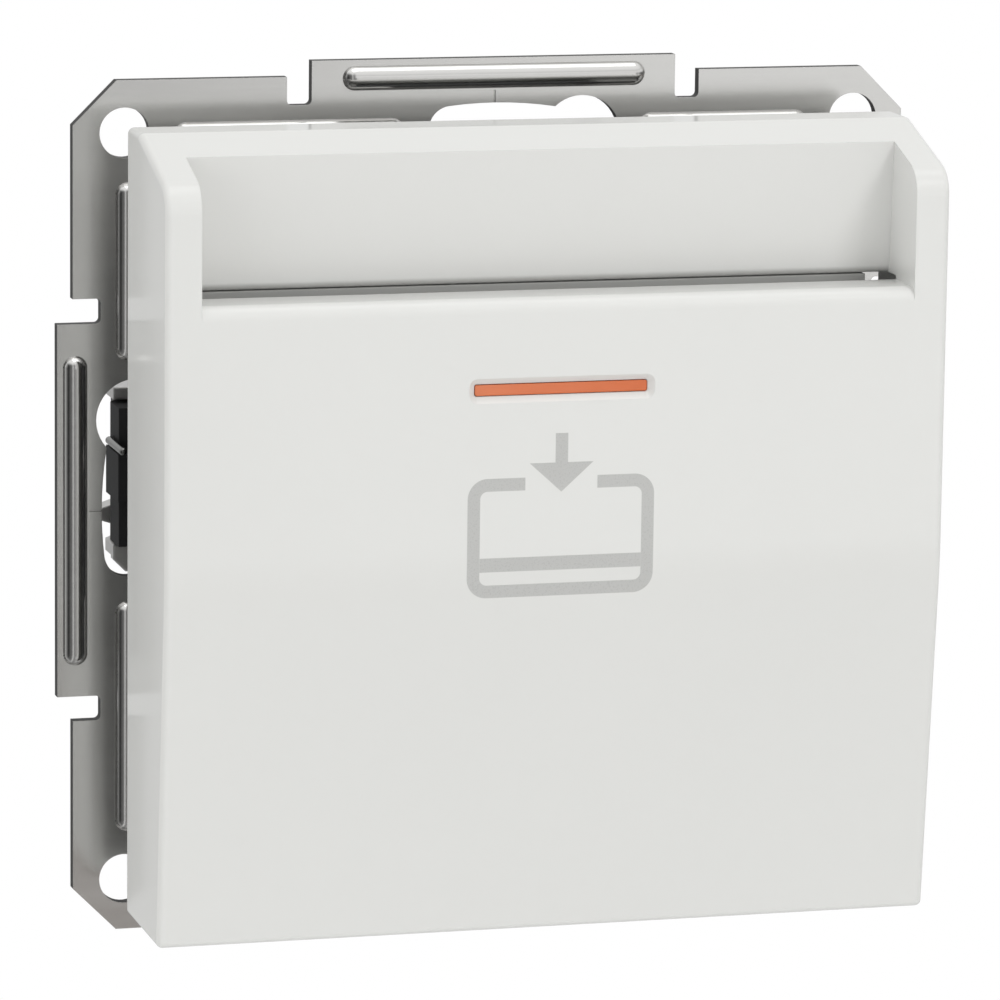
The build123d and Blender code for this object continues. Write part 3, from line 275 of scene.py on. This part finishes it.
class Finish(Nodes):
    """A material under construction: a Principled shader and the nodes before it."""

    def __init__(self, name, colour, roughness, metallic=0.0, **constants):
        self.material = bpy.data.materials.new(name)
        super().__init__(self.material)
        self.output = self.tree.nodes.new("ShaderNodeOutputMaterial")
        self.shader = self.tree.nodes.new("ShaderNodeBsdfPrincipled")
        self.tree.links.new(self.shader.outputs[0], self.output.inputs["Surface"])
        self.colour = tuple(colour)
        self.roughness = roughness
        self.set("Base Color", (*colour, 1.0))
        self.set("Roughness", roughness)
        self.set("Metallic", metallic)
        for socket, value in constants.items():
            self.set(socket.replace("_", " "), value)

    def set(self, name, value):
        """Sets one input of the Principled shader."""
        self.connect(self.shader.inputs[name], value)

    def place(self):
        """The object coordinates, in metres."""
        return self.node("ShaderNodeTexCoord", out="Object")

    def axes(self):
        """The three object coordinates in millimetres."""
        return [part / MM for part in self.parts(self.place())]

    def normal_axis(self, axis):
        """One component of the true surface normal."""
        normal = self.node("ShaderNodeNewGeometry", out="True Normal")
        return self.parts(normal)[axis]

    def stretched(self, scale):
        """Object coordinates stretched by three factors."""
        return self.node("ShaderNodeMapping", inputs={"Vector": self.place(), "Scale": scale})

    def noise(self, scale, detail=2.0, rough=0.5, vector=None):
        """Soft noise with about scale waves in a metre."""
        inputs = {"Scale": scale, "Detail": detail, "Roughness": rough}
        inputs["Vector"] = vector or self.place()
        return self.node("ShaderNodeTexNoise", inputs=inputs)

    def tinted(self, mask, low, high):
        """The finish's own colour, lightened or darkened between two factors."""
        dark = (*[c * low for c in self.colour], 1.0)
        light = (*[min(1.0, c * high) for c in self.colour], 1.0)
        return self.blend(mask, dark, light)

    def uneven(self, mask, spread):
        """The finish's own roughness, spread evenly to both sides by a mask."""
        return mask * spread + (self.roughness - spread / 2)

    def relief(self, height, distance, edge=0.0):
        """Bumps of a height map, with their height and the rounding of edges in millimetres."""
        inputs = {"Height": height, "Distance": distance * MM}
        if edge:
            inputs["Normal"] = self.rounded(edge)
        self.set("Normal", self.node("ShaderNodeBump", inputs=inputs))

    def rounded(self, edge):
        """A normal that rounds the edges by a radius in millimetres."""
        return self.node("ShaderNodeBevel", {"samples": EDGE_SAMPLES}, {"Radius": edge * MM})


# Finishes by trade

def moulded(name, colour, roughness):
    """Injection-moulded plastic: fine spark-eroded grain and faint flow shades."""
    finish = Finish(name, colour, roughness)
    flow = finish.noise(FLOW_SCALE, detail=3.0, vector=finish.stretched((1.0, 1.0, 0.4)))
    finish.set("Base Color", finish.tinted(flow, 0.97, 1.02))
    fine = finish.noise(GRAIN_SCALE)
    finish.set("Roughness", finish.uneven(fine, 0.10))
    finish.relief(fine, 0.004, edge=MOULDED_EDGE)
    return finish


def rolled_metal(
    name, colour, roughness, along=(1.0, 1.0, 1.0), edge=0.08, grain=0.0015, metallic=1.0, pressed=None
):
    """Sheet metal: rolling lines, cloudy patches, rubbed spots and, where pressed, rougher cut edges carrying
    painted shade.
    """
    finish = Finish(name, colour, roughness, metallic=metallic)
    lines = finish.noise(2600.0, detail=3.0, vector=finish.stretched(along))
    clouds = finish.noise(130.0, detail=4.0, rough=0.6)
    spots = finish.noise(900.0)
    shade = finish.tinted(lines * 0.45 + clouds * 0.45 + spots * 0.10, 0.86, 1.12)
    matt = clouds * 0.06 + lines * 0.06 + (roughness - 0.06)
    height = lines * 0.8 + spots * 0.2
    if pressed:
        # Where pressed, the cut edges are made rougher, and painted shade darkens their colour
        facing = abs(finish.normal_axis(1))
        cut_edges_and_shade = 1.0 - facing.above(0.3, 0.1)
        shade = finish.blend(cut_edges_and_shade, shade, (*[c * pressed.edge_painted_shade for c in colour], 1.0))
        matt = matt + cut_edges_and_shade * pressed.edge_roughness
        height = height + finish.noise(55.0, detail=1.0) * (pressed.waves / grain)
        finish.set("Metallic", 1.0 - facing.above(0.985, 0.01) * pressed.dullness)
    finish.set("Base Color", shade)
    finish.set("Roughness", matt)
    finish.relief(height, grain, edge=edge)
    return finish


def turned_metal(name, colour, roughness, edge=0.06, grain=0.001):
    """Small plated parts: soft plating clouds over fine tool marks."""
    finish = Finish(name, colour, roughness, metallic=1.0)
    clouds = finish.noise(700.0, detail=3.0)
    marks = finish.noise(5200.0, vector=finish.stretched((1.0, 0.15, 1.0)))
    finish.set("Base Color", finish.tinted(clouds * 0.7 + marks * 0.3, 0.82, 1.12))
    finish.set("Roughness", finish.uneven(clouds, 0.14))
    finish.relief(marks, grain, edge=edge)
    return finish


def drawn_wire(name, colour, roughness):
    """Drawn spring wire, whose round section has no edges."""
    return turned_metal(name, colour, roughness, edge=0.0, grain=0.0008)


# Finishes of this switch

def bar(px, pz, half_w, half_h, soft):
    """A filled rectangle about the zero of two coordinates, as a mask."""
    across = 1.0 - abs(px).above(half_w, soft)
    return across * (1.0 - abs(pz).above(half_h, soft))


def print_mask(finish, sign):
    """Where the printed sign lies on the cover's front: a card outline and an arrow into it."""
    x, y, z = finish.axes()
    facing = (finish.normal_axis(1) * -1.0).above(SQUARE_FACE)
    front = (y * -1.0).above(COVER_FRONT)
    soft = sign.edge_softness
    px = x - sign.centre_x
    pz = z - sign.centre_z
    width = sign.card_width / 2
    height = sign.card_height / 2
    line = sign.stroke / 2

    dx = (abs(px) - (width - sign.corner)).larger(0.0)
    dz = (abs(pz) - (height - sign.corner)).larger(0.0)
    distance = (dx * dx + dz * dz) ** 0.5
    card = 1.0 - abs(distance - (sign.corner - line)).above(line, soft)
    stripe = bar(px, pz + (height - STRIPE_RISE), width - STRIPE_INSET, STRIPE_HALF, soft)
    shaft = bar(px, pz - (height + SHAFT_RISE), line, SHAFT_HALF, soft)
    head_z = pz - (height - TIP_DEPTH)
    slant = (abs(px) * HEAD_SLOPE - head_z).above(0.0, soft)
    head = (1.0 - slant) * (1.0 - head_z.above(HEAD_HEIGHT, soft)) * head_z.above(0.0, soft)
    gap = 1.0 - bar(px, pz - height, *GAP_HALF, soft)
    picture = (card * gap).larger(stripe).larger(shaft).larger(head)
    return picture * facing * front


def cover_finish(settings, sign):
    """The cover's white plastic with the printed sign."""
    finish = Finish("cover_white", settings.colour, settings.roughness)
    flow = finish.noise(40.0, detail=3.0)
    white = finish.tinted(flow, 0.985, 1.008)
    mask = print_mask(finish, sign)
    finish.set("Base Color", finish.blend(mask, white, (*sign.colour, 1.0)))
    fine = finish.noise(7000.0)
    finish.set("Roughness", finish.uneven(fine, 0.08) + mask * 0.12)
    finish.relief(fine, 0.0012, edge=0.10)
    return finish


def base_marks(finish):
    """Raised marks on the housing's back: a stripping gauge, arrows to the buttons, ejector rings."""
    x, y, z = finish.axes()
    rear = finish.normal_axis(1).above(SQUARE_FACE) * y.above(HOUSING_REAR)

    def block(across, up, half_w, half_h):
        """A filled rectangle about a place."""
        return bar(x - across, z - up, half_w, half_h, MARK_SOFTNESS)

    def ring(across, up):
        """A thin ring about a place."""
        px = x - across
        pz = z - up
        distance = (px * px + pz * pz) ** 0.5
        return 1.0 - abs(distance - EJECTOR_RADIUS).above(LINE_HALF, MARK_SOFTNESS)

    def arrow(across, up, size):
        """A small triangle that points along Z by the sign of its size."""
        along = (z - up) / size
        flank = abs(x - across) / abs(size) - (1.0 - along) * ARROW_SLOPE
        inside = 1.0 - flank.above(0.0, MARK_SOFTNESS)
        return inside * along.above(0.0, MARK_SOFTNESS)

    ticks = 1.0 - abs((x + 0.5).maths("FRACT") - 0.5).above(LINE_HALF, MARK_SOFTNESS)
    marks = ticks * block(*TICK_BLOCK)
    for place in GAUGE_BLOCKS:
        marks = marks.larger(block(*place))
    for place in BUTTON_ARROWS:
        marks = marks.larger(arrow(*place))
    for place in EJECTOR_RINGS:
        marks = marks.larger(ring(*place))
    return marks * rear


def base_finish():
    """The housing's black plastic with its moulded marks, painted lighter as a painted highlight."""
    finish = Finish("base_black", (0.030, 0.030, 0.031), 0.6, Specular_IOR_Level=0.06)
    flow = finish.noise(FLOW_SCALE, detail=3.0)
    marks = base_marks(finish)
    # The raised marks are painted lighter than the black: a painted highlight that stands in for their
    # shading
    marks_painted_lighter = (0.050, 0.050, 0.052, 1.0)
    finish.set("Base Color", finish.blend(marks, finish.tinted(flow, 0.8, 1.3), marks_painted_lighter))
    fine = finish.noise(GRAIN_SCALE)
    finish.set("Roughness", finish.uneven(fine, 0.10) - marks * 0.10)
    finish.relief(fine * 0.03 + marks, 0.15, edge=MOULDED_EDGE)
    return finish


def lens_finish():
    """Tinted plastic that passes a little light, with random tone and painted light that makes it paler
    towards its left end.
    """
    finish = Finish("lens_orange", (0.76, 0.17, 0.05), 0.16, Transmission_Weight=0.15)
    # Random tone, and painted light that grows towards the lens's left end
    tone_and_painted_light = finish.noise(240.0) * 0.5 + (0.32 - finish.axes()[0] * 0.035)
    finish.set("Base Color", finish.blend(tone_and_painted_light, (0.80, 0.17, 0.042, 1.0), (0.92, 0.27, 0.12, 1.0)))
    finish.relief(finish.noise(3000.0, detail=1.0), 0.004, edge=MOULDED_EDGE)
    return finish


def clear_finish(name, colour):
    """Clear plastic with faint streaks."""
    finish = Finish(name, colour, 0.12, Transmission_Weight=0.85)
    streak = finish.noise(900.0)
    finish.set("Base Color", finish.tinted(streak, 0.94, 1.0))
    finish.set("Roughness", finish.uneven(streak, 0.12))
    finish.relief(streak, 0.002, edge=0.08)
    return finish


def board_finish():
    """Green circuit board with a fine weave."""
    finish = Finish("board_green", (0.02, 0.12, 0.045), 0.4)
    settings = {"bands_direction": "DIAGONAL"}
    weave = finish.node("ShaderNodeTexWave", settings, {"Vector": finish.place(), "Scale": 1400.0})
    finish.set("Base Color", finish.tinted(weave, 0.85, 1.15))
    finish.relief(weave, 0.01)
    return finish


# Settings

class CoverSettings(bpy.types.PropertyGroup):
    """The white cover"""

    colour: bpy.props.FloatVectorProperty(
        name="Cover colour",
        description="Colour of the white moulded parts",
        subtype="COLOR",
        size=3,
        min=0.0,
        max=1.0,
        default=(0.82, 0.82, 0.805),
    )
    roughness: bpy.props.FloatProperty(
        name="Cover roughness", description="How matt the cover is", default=0.16, min=0.05, max=1.0
    )


class SignSettings(bpy.types.PropertyGroup):
    """The sign printed on the cover"""

    colour: bpy.props.FloatVectorProperty(
        name="Ink", description="Colour of the printed sign", subtype="COLOR", size=3, min=0.0, max=1.0,
        default=(0.56, 0.56, 0.55),
    )
    centre_x: bpy.props.FloatProperty(name="Centre X", description="Millimetres from the middle", default=0.0)
    centre_z: bpy.props.FloatProperty(name="Centre Z", description="Millimetres from the middle", default=0.6)
    card_width: bpy.props.FloatProperty(name="Card width", description="Millimetres", default=15.0)
    card_height: bpy.props.FloatProperty(name="Card height", description="Millimetres", default=9.4)
    corner: bpy.props.FloatProperty(name="Corner radius", description="Millimetres", default=1.6)
    stroke: bpy.props.FloatProperty(name="Stroke", description="Line width in millimetres", default=1.0)
    edge_softness: bpy.props.FloatProperty(name="Softness", description="Millimetres", default=0.05)


class FrameSettings(bpy.types.PropertyGroup):
    """The pressed steel frame"""

    # The cut edges' darkness is painted shade, given as a share of the steel's colour
    edge_painted_shade: bpy.props.FloatProperty(
        name="Edge shade", description="How dark the cut edges are, as a share of the steel", default=0.14
    )
    edge_roughness: bpy.props.FloatProperty(
        name="Edge roughness", description="How much more matt the cut edges are", default=0.45
    )
    dullness: bpy.props.FloatProperty(
        name="Dullness", description="How much of its mirror the flat plating loses", default=0.18
    )
    waves: bpy.props.FloatProperty(
        name="Waves", description="Height of the sheet's soft waves in millimetres", default=0.01
    )


class ScrewSettings(bpy.types.PropertyGroup):
    """The two claw screws"""

    thread_radius: bpy.props.FloatProperty(name="Thread radius", description="Millimetres", default=1.5)
    pitch: bpy.props.FloatProperty(name="Pitch", description="Millimetres in a turn", default=0.5)
    head_height: bpy.props.FloatProperty(name="Head height", description="Millimetres", default=2.0)
    head_edge: bpy.props.FloatProperty(
        name="Head edge", description="Millimetres cut off the edge", default=0.35
    )
    slot_width: bpy.props.FloatProperty(name="Slot width", description="Millimetres", default=0.8)
    slot_depth: bpy.props.FloatProperty(name="Slot depth", description="Millimetres", default=1.1)


class StageSettings(bpy.types.PropertyGroup):
    """The floor, the lamps and the room's light"""

    floor_depth: bpy.props.FloatProperty(
        name="Floor depth", description="How far the floor lies below the middle", unit="LENGTH", default=0.2
    )
    key_power: bpy.props.FloatProperty(name="Key lamp", description="Watts", default=3.3)
    fill_power: bpy.props.FloatProperty(name="Fill lamp", description="Watts", default=1.7)
    top_power: bpy.props.FloatProperty(name="Top lamp", description="Watts", default=1.6)
    back_power: bpy.props.FloatProperty(name="Back lamp", description="Watts", default=2.2)
    sky: bpy.props.FloatProperty(name="Ambient light", description="Strength of the room", default=0.62)


# Pieces

def dress(finish, *names):
    """Gives CAD nodes a finish."""
    for name in names:
        mesh = NODES[name].data
        mesh.materials.clear()
        mesh.materials.append(finish.material)


def body_of(node):
    """The name of the body that carries a CAD node."""
    for name, nodes in BODIES.items():
        if node in nodes:
            return name
    raise KeyError(node)


def lathed(bm, points, x, z):
    """Turns a profile of (radius, y) points about an axis along Y, in millimetres."""
    verts = [bm.verts.new(((x + radius) * MM, y * MM, z * MM)) for radius, y in points]
    edges = [bm.edges.new(pair) for pair in zip(verts, verts[1:])]
    bmesh.ops.spin(
        bm,
        geom=verts + edges,
        cent=(x * MM, 0.0, z * MM),
        axis=(0.0, 1.0, 0.0),
        angle=math.tau,
        steps=HEAD_STEPS,
        use_merge=True,
    )


def wound_thread(bm, outer, core, pitch, start, end, x, z):
    """Winds a sharp thread about an axis along Y, in millimetres."""
    turns = int((end - start) / pitch) - 1
    half = THREAD_FLANK_SHARE * pitch
    root = core - THREAD_SINK
    corners = ((root, start), (outer, start + half), (root, start + 2 * half))
    verts = [bm.verts.new(((x + radius) * MM, y * MM, z * MM)) for radius, y in corners]
    edges = [bm.edges.new((verts[i], verts[(i + 1) % 3])) for i in range(3)]
    bmesh.ops.spin(
        bm,
        geom=verts + edges,
        cent=(x * MM, 0.0, z * MM),
        axis=(0.0, 1.0, 0.0),
        dvec=(0.0, pitch * MM / THREAD_STEPS, 0.0),
        angle=math.tau * turns,
        steps=THREAD_STEPS * turns,
    )
    rims = [edge for edge in bm.edges if edge.is_boundary]
    bmesh.ops.holes_fill(bm, edges=rims, sides=3)


def cut_slot(piece, centre, size):
    """Cuts a box-shaped slot out of a piece and keeps the result as its mesh."""
    bm = bmesh.new()
    bmesh.ops.create_cube(bm, size=1.0)
    bmesh.ops.scale(bm, verts=bm.verts, vec=[value * MM for value in size])
    bmesh.ops.translate(bm, verts=bm.verts, vec=[value * MM for value in centre])
    mesh = bpy.data.meshes.new("cutter")
    bm.to_mesh(mesh)
    bm.free()
    cutter = bpy.data.objects.new("cutter", mesh)
    bpy.context.scene.collection.objects.link(cutter)
    boolean = piece.modifiers.new("slot", "BOOLEAN")
    boolean.object = cutter
    boolean.operation = "DIFFERENCE"
    boolean.solver = "EXACT"
    bpy.context.view_layer.update()
    cut = piece.evaluated_get(bpy.context.evaluated_depsgraph_get())
    result = bpy.data.meshes.new_from_object(cut)
    piece.modifiers.clear()
    piece.data = result
    bpy.data.objects.remove(cutter)


def threaded_screw(node, sizes, finish):
    """A claw screw with a chamfered slotted head and a cut thread, in place of its plain solid."""
    low, high = [[value / MM for value in corner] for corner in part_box(node)]
    x = (low[0] + high[0]) / 2
    z = (low[2] + high[2]) / 2
    radius = (high[0] - low[0]) / 2
    seat = low[1] + sizes.head_height
    core = sizes.thread_radius - THREAD_DEPTH_SHARE * sizes.pitch
    cut = sizes.head_edge
    profile = (
        (0.0, low[1]),
        (radius - cut, low[1]),
        (radius, low[1] + cut),
        (radius, seat - cut / 2),
        (radius - cut / 2, seat),
        (core, seat),
        (core, high[1] - cut),
        (core - cut, high[1]),
        (0.0, high[1]),
    )
    bm = bmesh.new()
    lathed(bm, profile, x, z)
    bmesh.ops.remove_doubles(bm, verts=bm.verts, dist=MERGE_DISTANCE)
    bmesh.ops.recalc_face_normals(bm, faces=bm.faces)
    mesh = bpy.data.meshes.new(f"{node}_threaded")
    bm.to_mesh(mesh)
    screw = bpy.data.objects.new(f"{node}_threaded", mesh)
    bpy.context.scene.collection.objects.link(screw)
    cut_slot(screw, (x, low[1], z), (3 * radius, 2 * sizes.slot_depth, sizes.slot_width))
    bm.clear()
    bm.from_mesh(screw.data)
    wound_thread(bm, sizes.thread_radius, core, sizes.pitch, seat + sizes.pitch, high[1], x, z)
    bmesh.ops.recalc_face_normals(bm, faces=bm.faces)
    bm.to_mesh(screw.data)
    bm.free()
    screw.data.materials.clear()
    screw.data.materials.append(finish.material)
    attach(screw, body_of(node))
    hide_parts(node)


# Studio

def lamp(name, place, size, power, mirrored):
    """A soft rectangular lamp that faces the switch, and that gloss may mirror."""
    data = bpy.data.lights.new(name, "AREA")
    data.shape = "RECTANGLE"
    data.size, data.size_y = size
    data.energy = power
    made = bpy.data.objects.new(name, data)
    made.location = place
    made.rotation_euler = (Vector(LAMP_AIM) - Vector(place)).to_track_quat("-Z", "Y").to_euler()
    made.visible_glossy = mirrored
    bpy.context.scene.collection.objects.link(made)


def grey(level):
    """A plain grey."""
    return (level, level, level, 1.0)


def white_room(sky):
    """A world that is white where it is seen, soft where it lights, and a studio in reflections."""
    world = bpy.data.worlds.new("studio")
    bpy.context.scene.world = world
    room = Nodes(world)
    across, depth, up = room.parts(room.node("ShaderNodeTexCoord", out="Generated"))
    directions = {"across": across, "up": up, "left": across * -1.0}

    def banded(below, direction, start, end, soft, shade):
        """Paints one band over what lies below."""
        along = directions[direction]
        shade = (*shade, 1.0) if isinstance(shade, tuple) else grey(shade)
        if start is None:
            return room.blend(along.above(end, soft), shade, below)
        mask = along.above(start, soft)
        if end is not None:
            mask = mask * (1.0 - along.above(end, soft))
        return room.blend(mask, below, shade)

    front = grey(FRONT_GREY)
    for band in FRONT_BANDS:
        front = banded(front, *band)
    behind = grey(BEHIND_GREY)
    for band in BEHIND_BANDS:
        behind = banded(behind, *band)
    ahead = (depth * -1.0).above(0.0, 0.5)
    shade = banded(room.blend(ahead, behind, front), *CEILING_BAND)
    studio = room.node("ShaderNodeBackground", inputs={"Color": shade, "Strength": 1.0})
    soft = room.node("ShaderNodeBackground", inputs={"Color": SKY_COLOUR, "Strength": sky})
    white = room.node("ShaderNodeBackground", inputs={"Color": WHITE, "Strength": 1.0})
    seen, shiny, through = room.rays("Camera", "Glossy", "Transmission")
    light = room.mixed(shiny, soft, studio)
    surface = room.mixed(seen.larger(through), light, white)
    room.node("ShaderNodeOutputWorld", inputs={"Surface": surface})


def pale_floor(depth):
    """A pale floor that takes shadows near the switch and fades to the white background."""
    bm = bmesh.new()
    bmesh.ops.create_grid(bm, x_segments=8, y_segments=8, size=FLOOR_HALF)
    bmesh.ops.translate(bm, verts=bm.verts, vec=(0.0, 0.0, -depth))
    mesh = bpy.data.meshes.new("floor")
    bm.to_mesh(mesh)
    bm.free()
    floor = bpy.data.objects.new("floor", mesh)
    bpy.context.scene.collection.objects.link(floor)
    finish = Finish("floor_pale", (0.90, 0.90, 0.90), 0.8)
    across, along, _ = finish.parts(finish.place())
    distance = (across * across + along * along) ** 0.5
    far = distance.above(FLOOR_FADE, FLOOR_FADE_WIDTH)
    shader = Value(finish, finish.shader.outputs[0])
    white = finish.node("ShaderNodeEmission", inputs={"Strength": 1.0})
    lift = finish.node("ShaderNodeEmission", inputs={"Strength": FLOOR_LIFT})
    near = finish.node("ShaderNodeAddShader", inputs={0: shader, 1: lift})
    clear = finish.node("ShaderNodeBsdfTransparent")
    seen, shiny = finish.rays("Camera", "Glossy")
    surface = finish.mixed(seen, shader, finish.mixed(far, near, white))
    surface = finish.mixed(shiny, surface, clear)
    finish.connect(finish.output.inputs["Surface"], surface)
    mesh.materials.append(finish.material)


def studio_camera(scene):
    """The camera at the photograph's viewing angle."""
    view = bpy.data.cameras.new("camera")
    view.lens = CAMERA_LENS
    view.sensor_width = CAMERA_SENSOR
    view.sensor_fit = "HORIZONTAL"
    view.clip_start = CAMERA_NEAR
    view.clip_end = CAMERA_FAR
    eye = bpy.data.objects.new("camera", view)
    turn = Matrix((PICTURE_RIGHT, -Vector(PICTURE_DOWN), -Vector(PICTURE_AHEAD))).transposed()
    eye.matrix_world = Matrix.Translation(CAMERA_PLACE) @ turn.to_4x4()
    scene.collection.objects.link(eye)
    scene.camera = eye


# Operators

class CARD_OT_cover(bpy.types.Operator):
    """Finish the cover, its indicator lens and the card guide behind the slot"""

    bl_idname = "card_switch.cover"
    bl_label = "Cover and card guide"

    def execute(self, context):
        scene = context.scene
        dress(cover_finish(scene.card_switch_cover, scene.card_switch_sign), "centre_plate")
        dress(lens_finish(), "indicator_lens")
        dress(moulded("tray_grey", (0.40, 0.40, 0.39), 0.4), "card_guide")
        dress(clear_finish("clear_plastic", (0.90, 0.91, 0.91)), "light_guide", "indicator_lamp")
        dress(moulded("lever_white", (0.72, 0.72, 0.70), 0.42), "card_lever", "plunger")
        return {"FINISHED"}


class CARD_OT_frame(bpy.types.Operator):
    """Finish the steel support frame, its rivets and the claws"""

    bl_idname = "card_switch.frame"
    bl_label = "Support frame and claws"

    def execute(self, context):
        scene = context.scene
        sheet = rolled_metal(
            "frame_steel",
            (0.66, 0.655, 0.64),
            0.18,
            along=(0.04, 1.0, 1.0),
            edge=0.03,
            grain=0.0002,
            pressed=scene.card_switch_frame,
        )
        dress(sheet, "support_frame")
        dress(turned_metal("rivet_steel", (0.42, 0.42, 0.41), 0.3), "frame_rivets")
        claw = rolled_metal(
            "claw_steel", (0.56, 0.556, 0.545), 0.32, along=(0.2, 1.0, 1.0), edge=0.3, metallic=0.85
        )
        dress(claw, "left_claw", "right_claw")
        zinc = turned_metal("zinc_steel", (0.50, 0.50, 0.49), 0.28)
        dress(zinc, "left_claw_nut", "right_claw_nut", "lid_screws", "guide_screws")
        for side in ("left", "right"):
            threaded_screw(f"{side}_claw_screw", scene.card_switch_screws, zinc)
        return {"FINISHED"}


class CARD_OT_switch(bpy.types.Operator):
    """Finish the switch body, its contacts, clamps, springs and lamp"""

    bl_idname = "card_switch.switch"
    bl_label = "Switch body and contacts"

    def execute(self, context):
        dress(base_finish(), "switch_base")
        dress(moulded("lid_grey", (0.16, 0.165, 0.17), 0.5), "switch_lid")
        dress(moulded("lamp_socket", (0.60, 0.60, 0.56), 0.5), "lamp_holder")
        dress(board_finish(), "lamp_board")
        release = moulded("release_white", (0.62, 0.62, 0.60), 0.45)
        dress(release, "release_lever_1", "release_lever_2", "release_lever_3")
        brass = rolled_metal("brass_strip", (0.68, 0.50, 0.20), 0.3, along=(1.0, 0.2, 1.0))
        dress(brass, "common_terminal", "make_terminal", "break_terminal", "lamp_pins")
        dress(rolled_metal("copper_arm", (0.62, 0.33, 0.20), 0.3, along=(1.0, 1.0, 0.2)), "contact_arm")
        dress(turned_metal("contact_silver", (0.72, 0.72, 0.71), 0.25), "moving_contact", "fixed_contacts")
        steel = drawn_wire("spring_steel", (0.62, 0.62, 0.61), 0.18)
        dress(steel, "lever_pin", "contact_pin", "lever_spring")
        dress(steel, "plunger_spring", "contact_spring", "clamp_springs")
        dress(drawn_wire("claw_wire", (0.20, 0.20, 0.195), 0.24), "claw_springs")
        return {"FINISHED"}


class CARD_OT_stage(bpy.types.Operator):
    """Set up the floor, the room, the lamps and the camera"""

    bl_idname = "card_switch.stage"
    bl_label = "Studio and camera"

    def execute(self, context):
        scene = context.scene
        stage = scene.card_switch_stage
        pale_floor(stage.floor_depth)
        white_room(stage.sky)
        for name, (place, size, mirrored) in LAMPS.items():
            lamp(f"{name}_lamp", place, size, getattr(stage, f"{name}_power"), mirrored)
        studio_camera(scene)
        scene.view_settings.view_transform = "Standard"
        return {"FINISHED"}


class CARD_PT_panel(bpy.types.Panel):
    """Lists the steps that dress the switch"""

    bl_label = "Card switch"
    bl_idname = "CARD_PT_panel"
    bl_space_type = "VIEW_3D"
    bl_region_type = "UI"
    bl_category = "Card switch"

    def draw(self, context):
        for operator in OPERATORS:
            self.layout.operator(operator.bl_idname)


GROUPS = {
    "card_switch_cover": CoverSettings,
    "card_switch_sign": SignSettings,
    "card_switch_frame": FrameSettings,
    "card_switch_screws": ScrewSettings,
    "card_switch_stage": StageSettings,
}
OPERATORS = (CARD_OT_cover, CARD_OT_frame, CARD_OT_switch, CARD_OT_stage)


def register():
    """Registers the settings, the operators and the panel."""
    for cls in (*GROUPS.values(), *OPERATORS, CARD_PT_panel):
        bpy.utils.register_class(cls)
    for name, cls in GROUPS.items():
        setattr(bpy.types.Scene, name, bpy.props.PointerProperty(type=cls))


def unregister():
    """Takes the add-on's classes out again."""
    for name in GROUPS:
        delattr(bpy.types.Scene, name)
    for cls in reversed((*GROUPS.values(), *OPERATORS, CARD_PT_panel)):
        bpy.utils.unregister_class(cls)


def main():
    """Dresses the switch."""
    register()
    bpy.ops.card_switch.cover()
    bpy.ops.card_switch.frame()
    bpy.ops.card_switch.switch()
    bpy.ops.card_switch.stage()


if __name__ == "__main__":
    main()
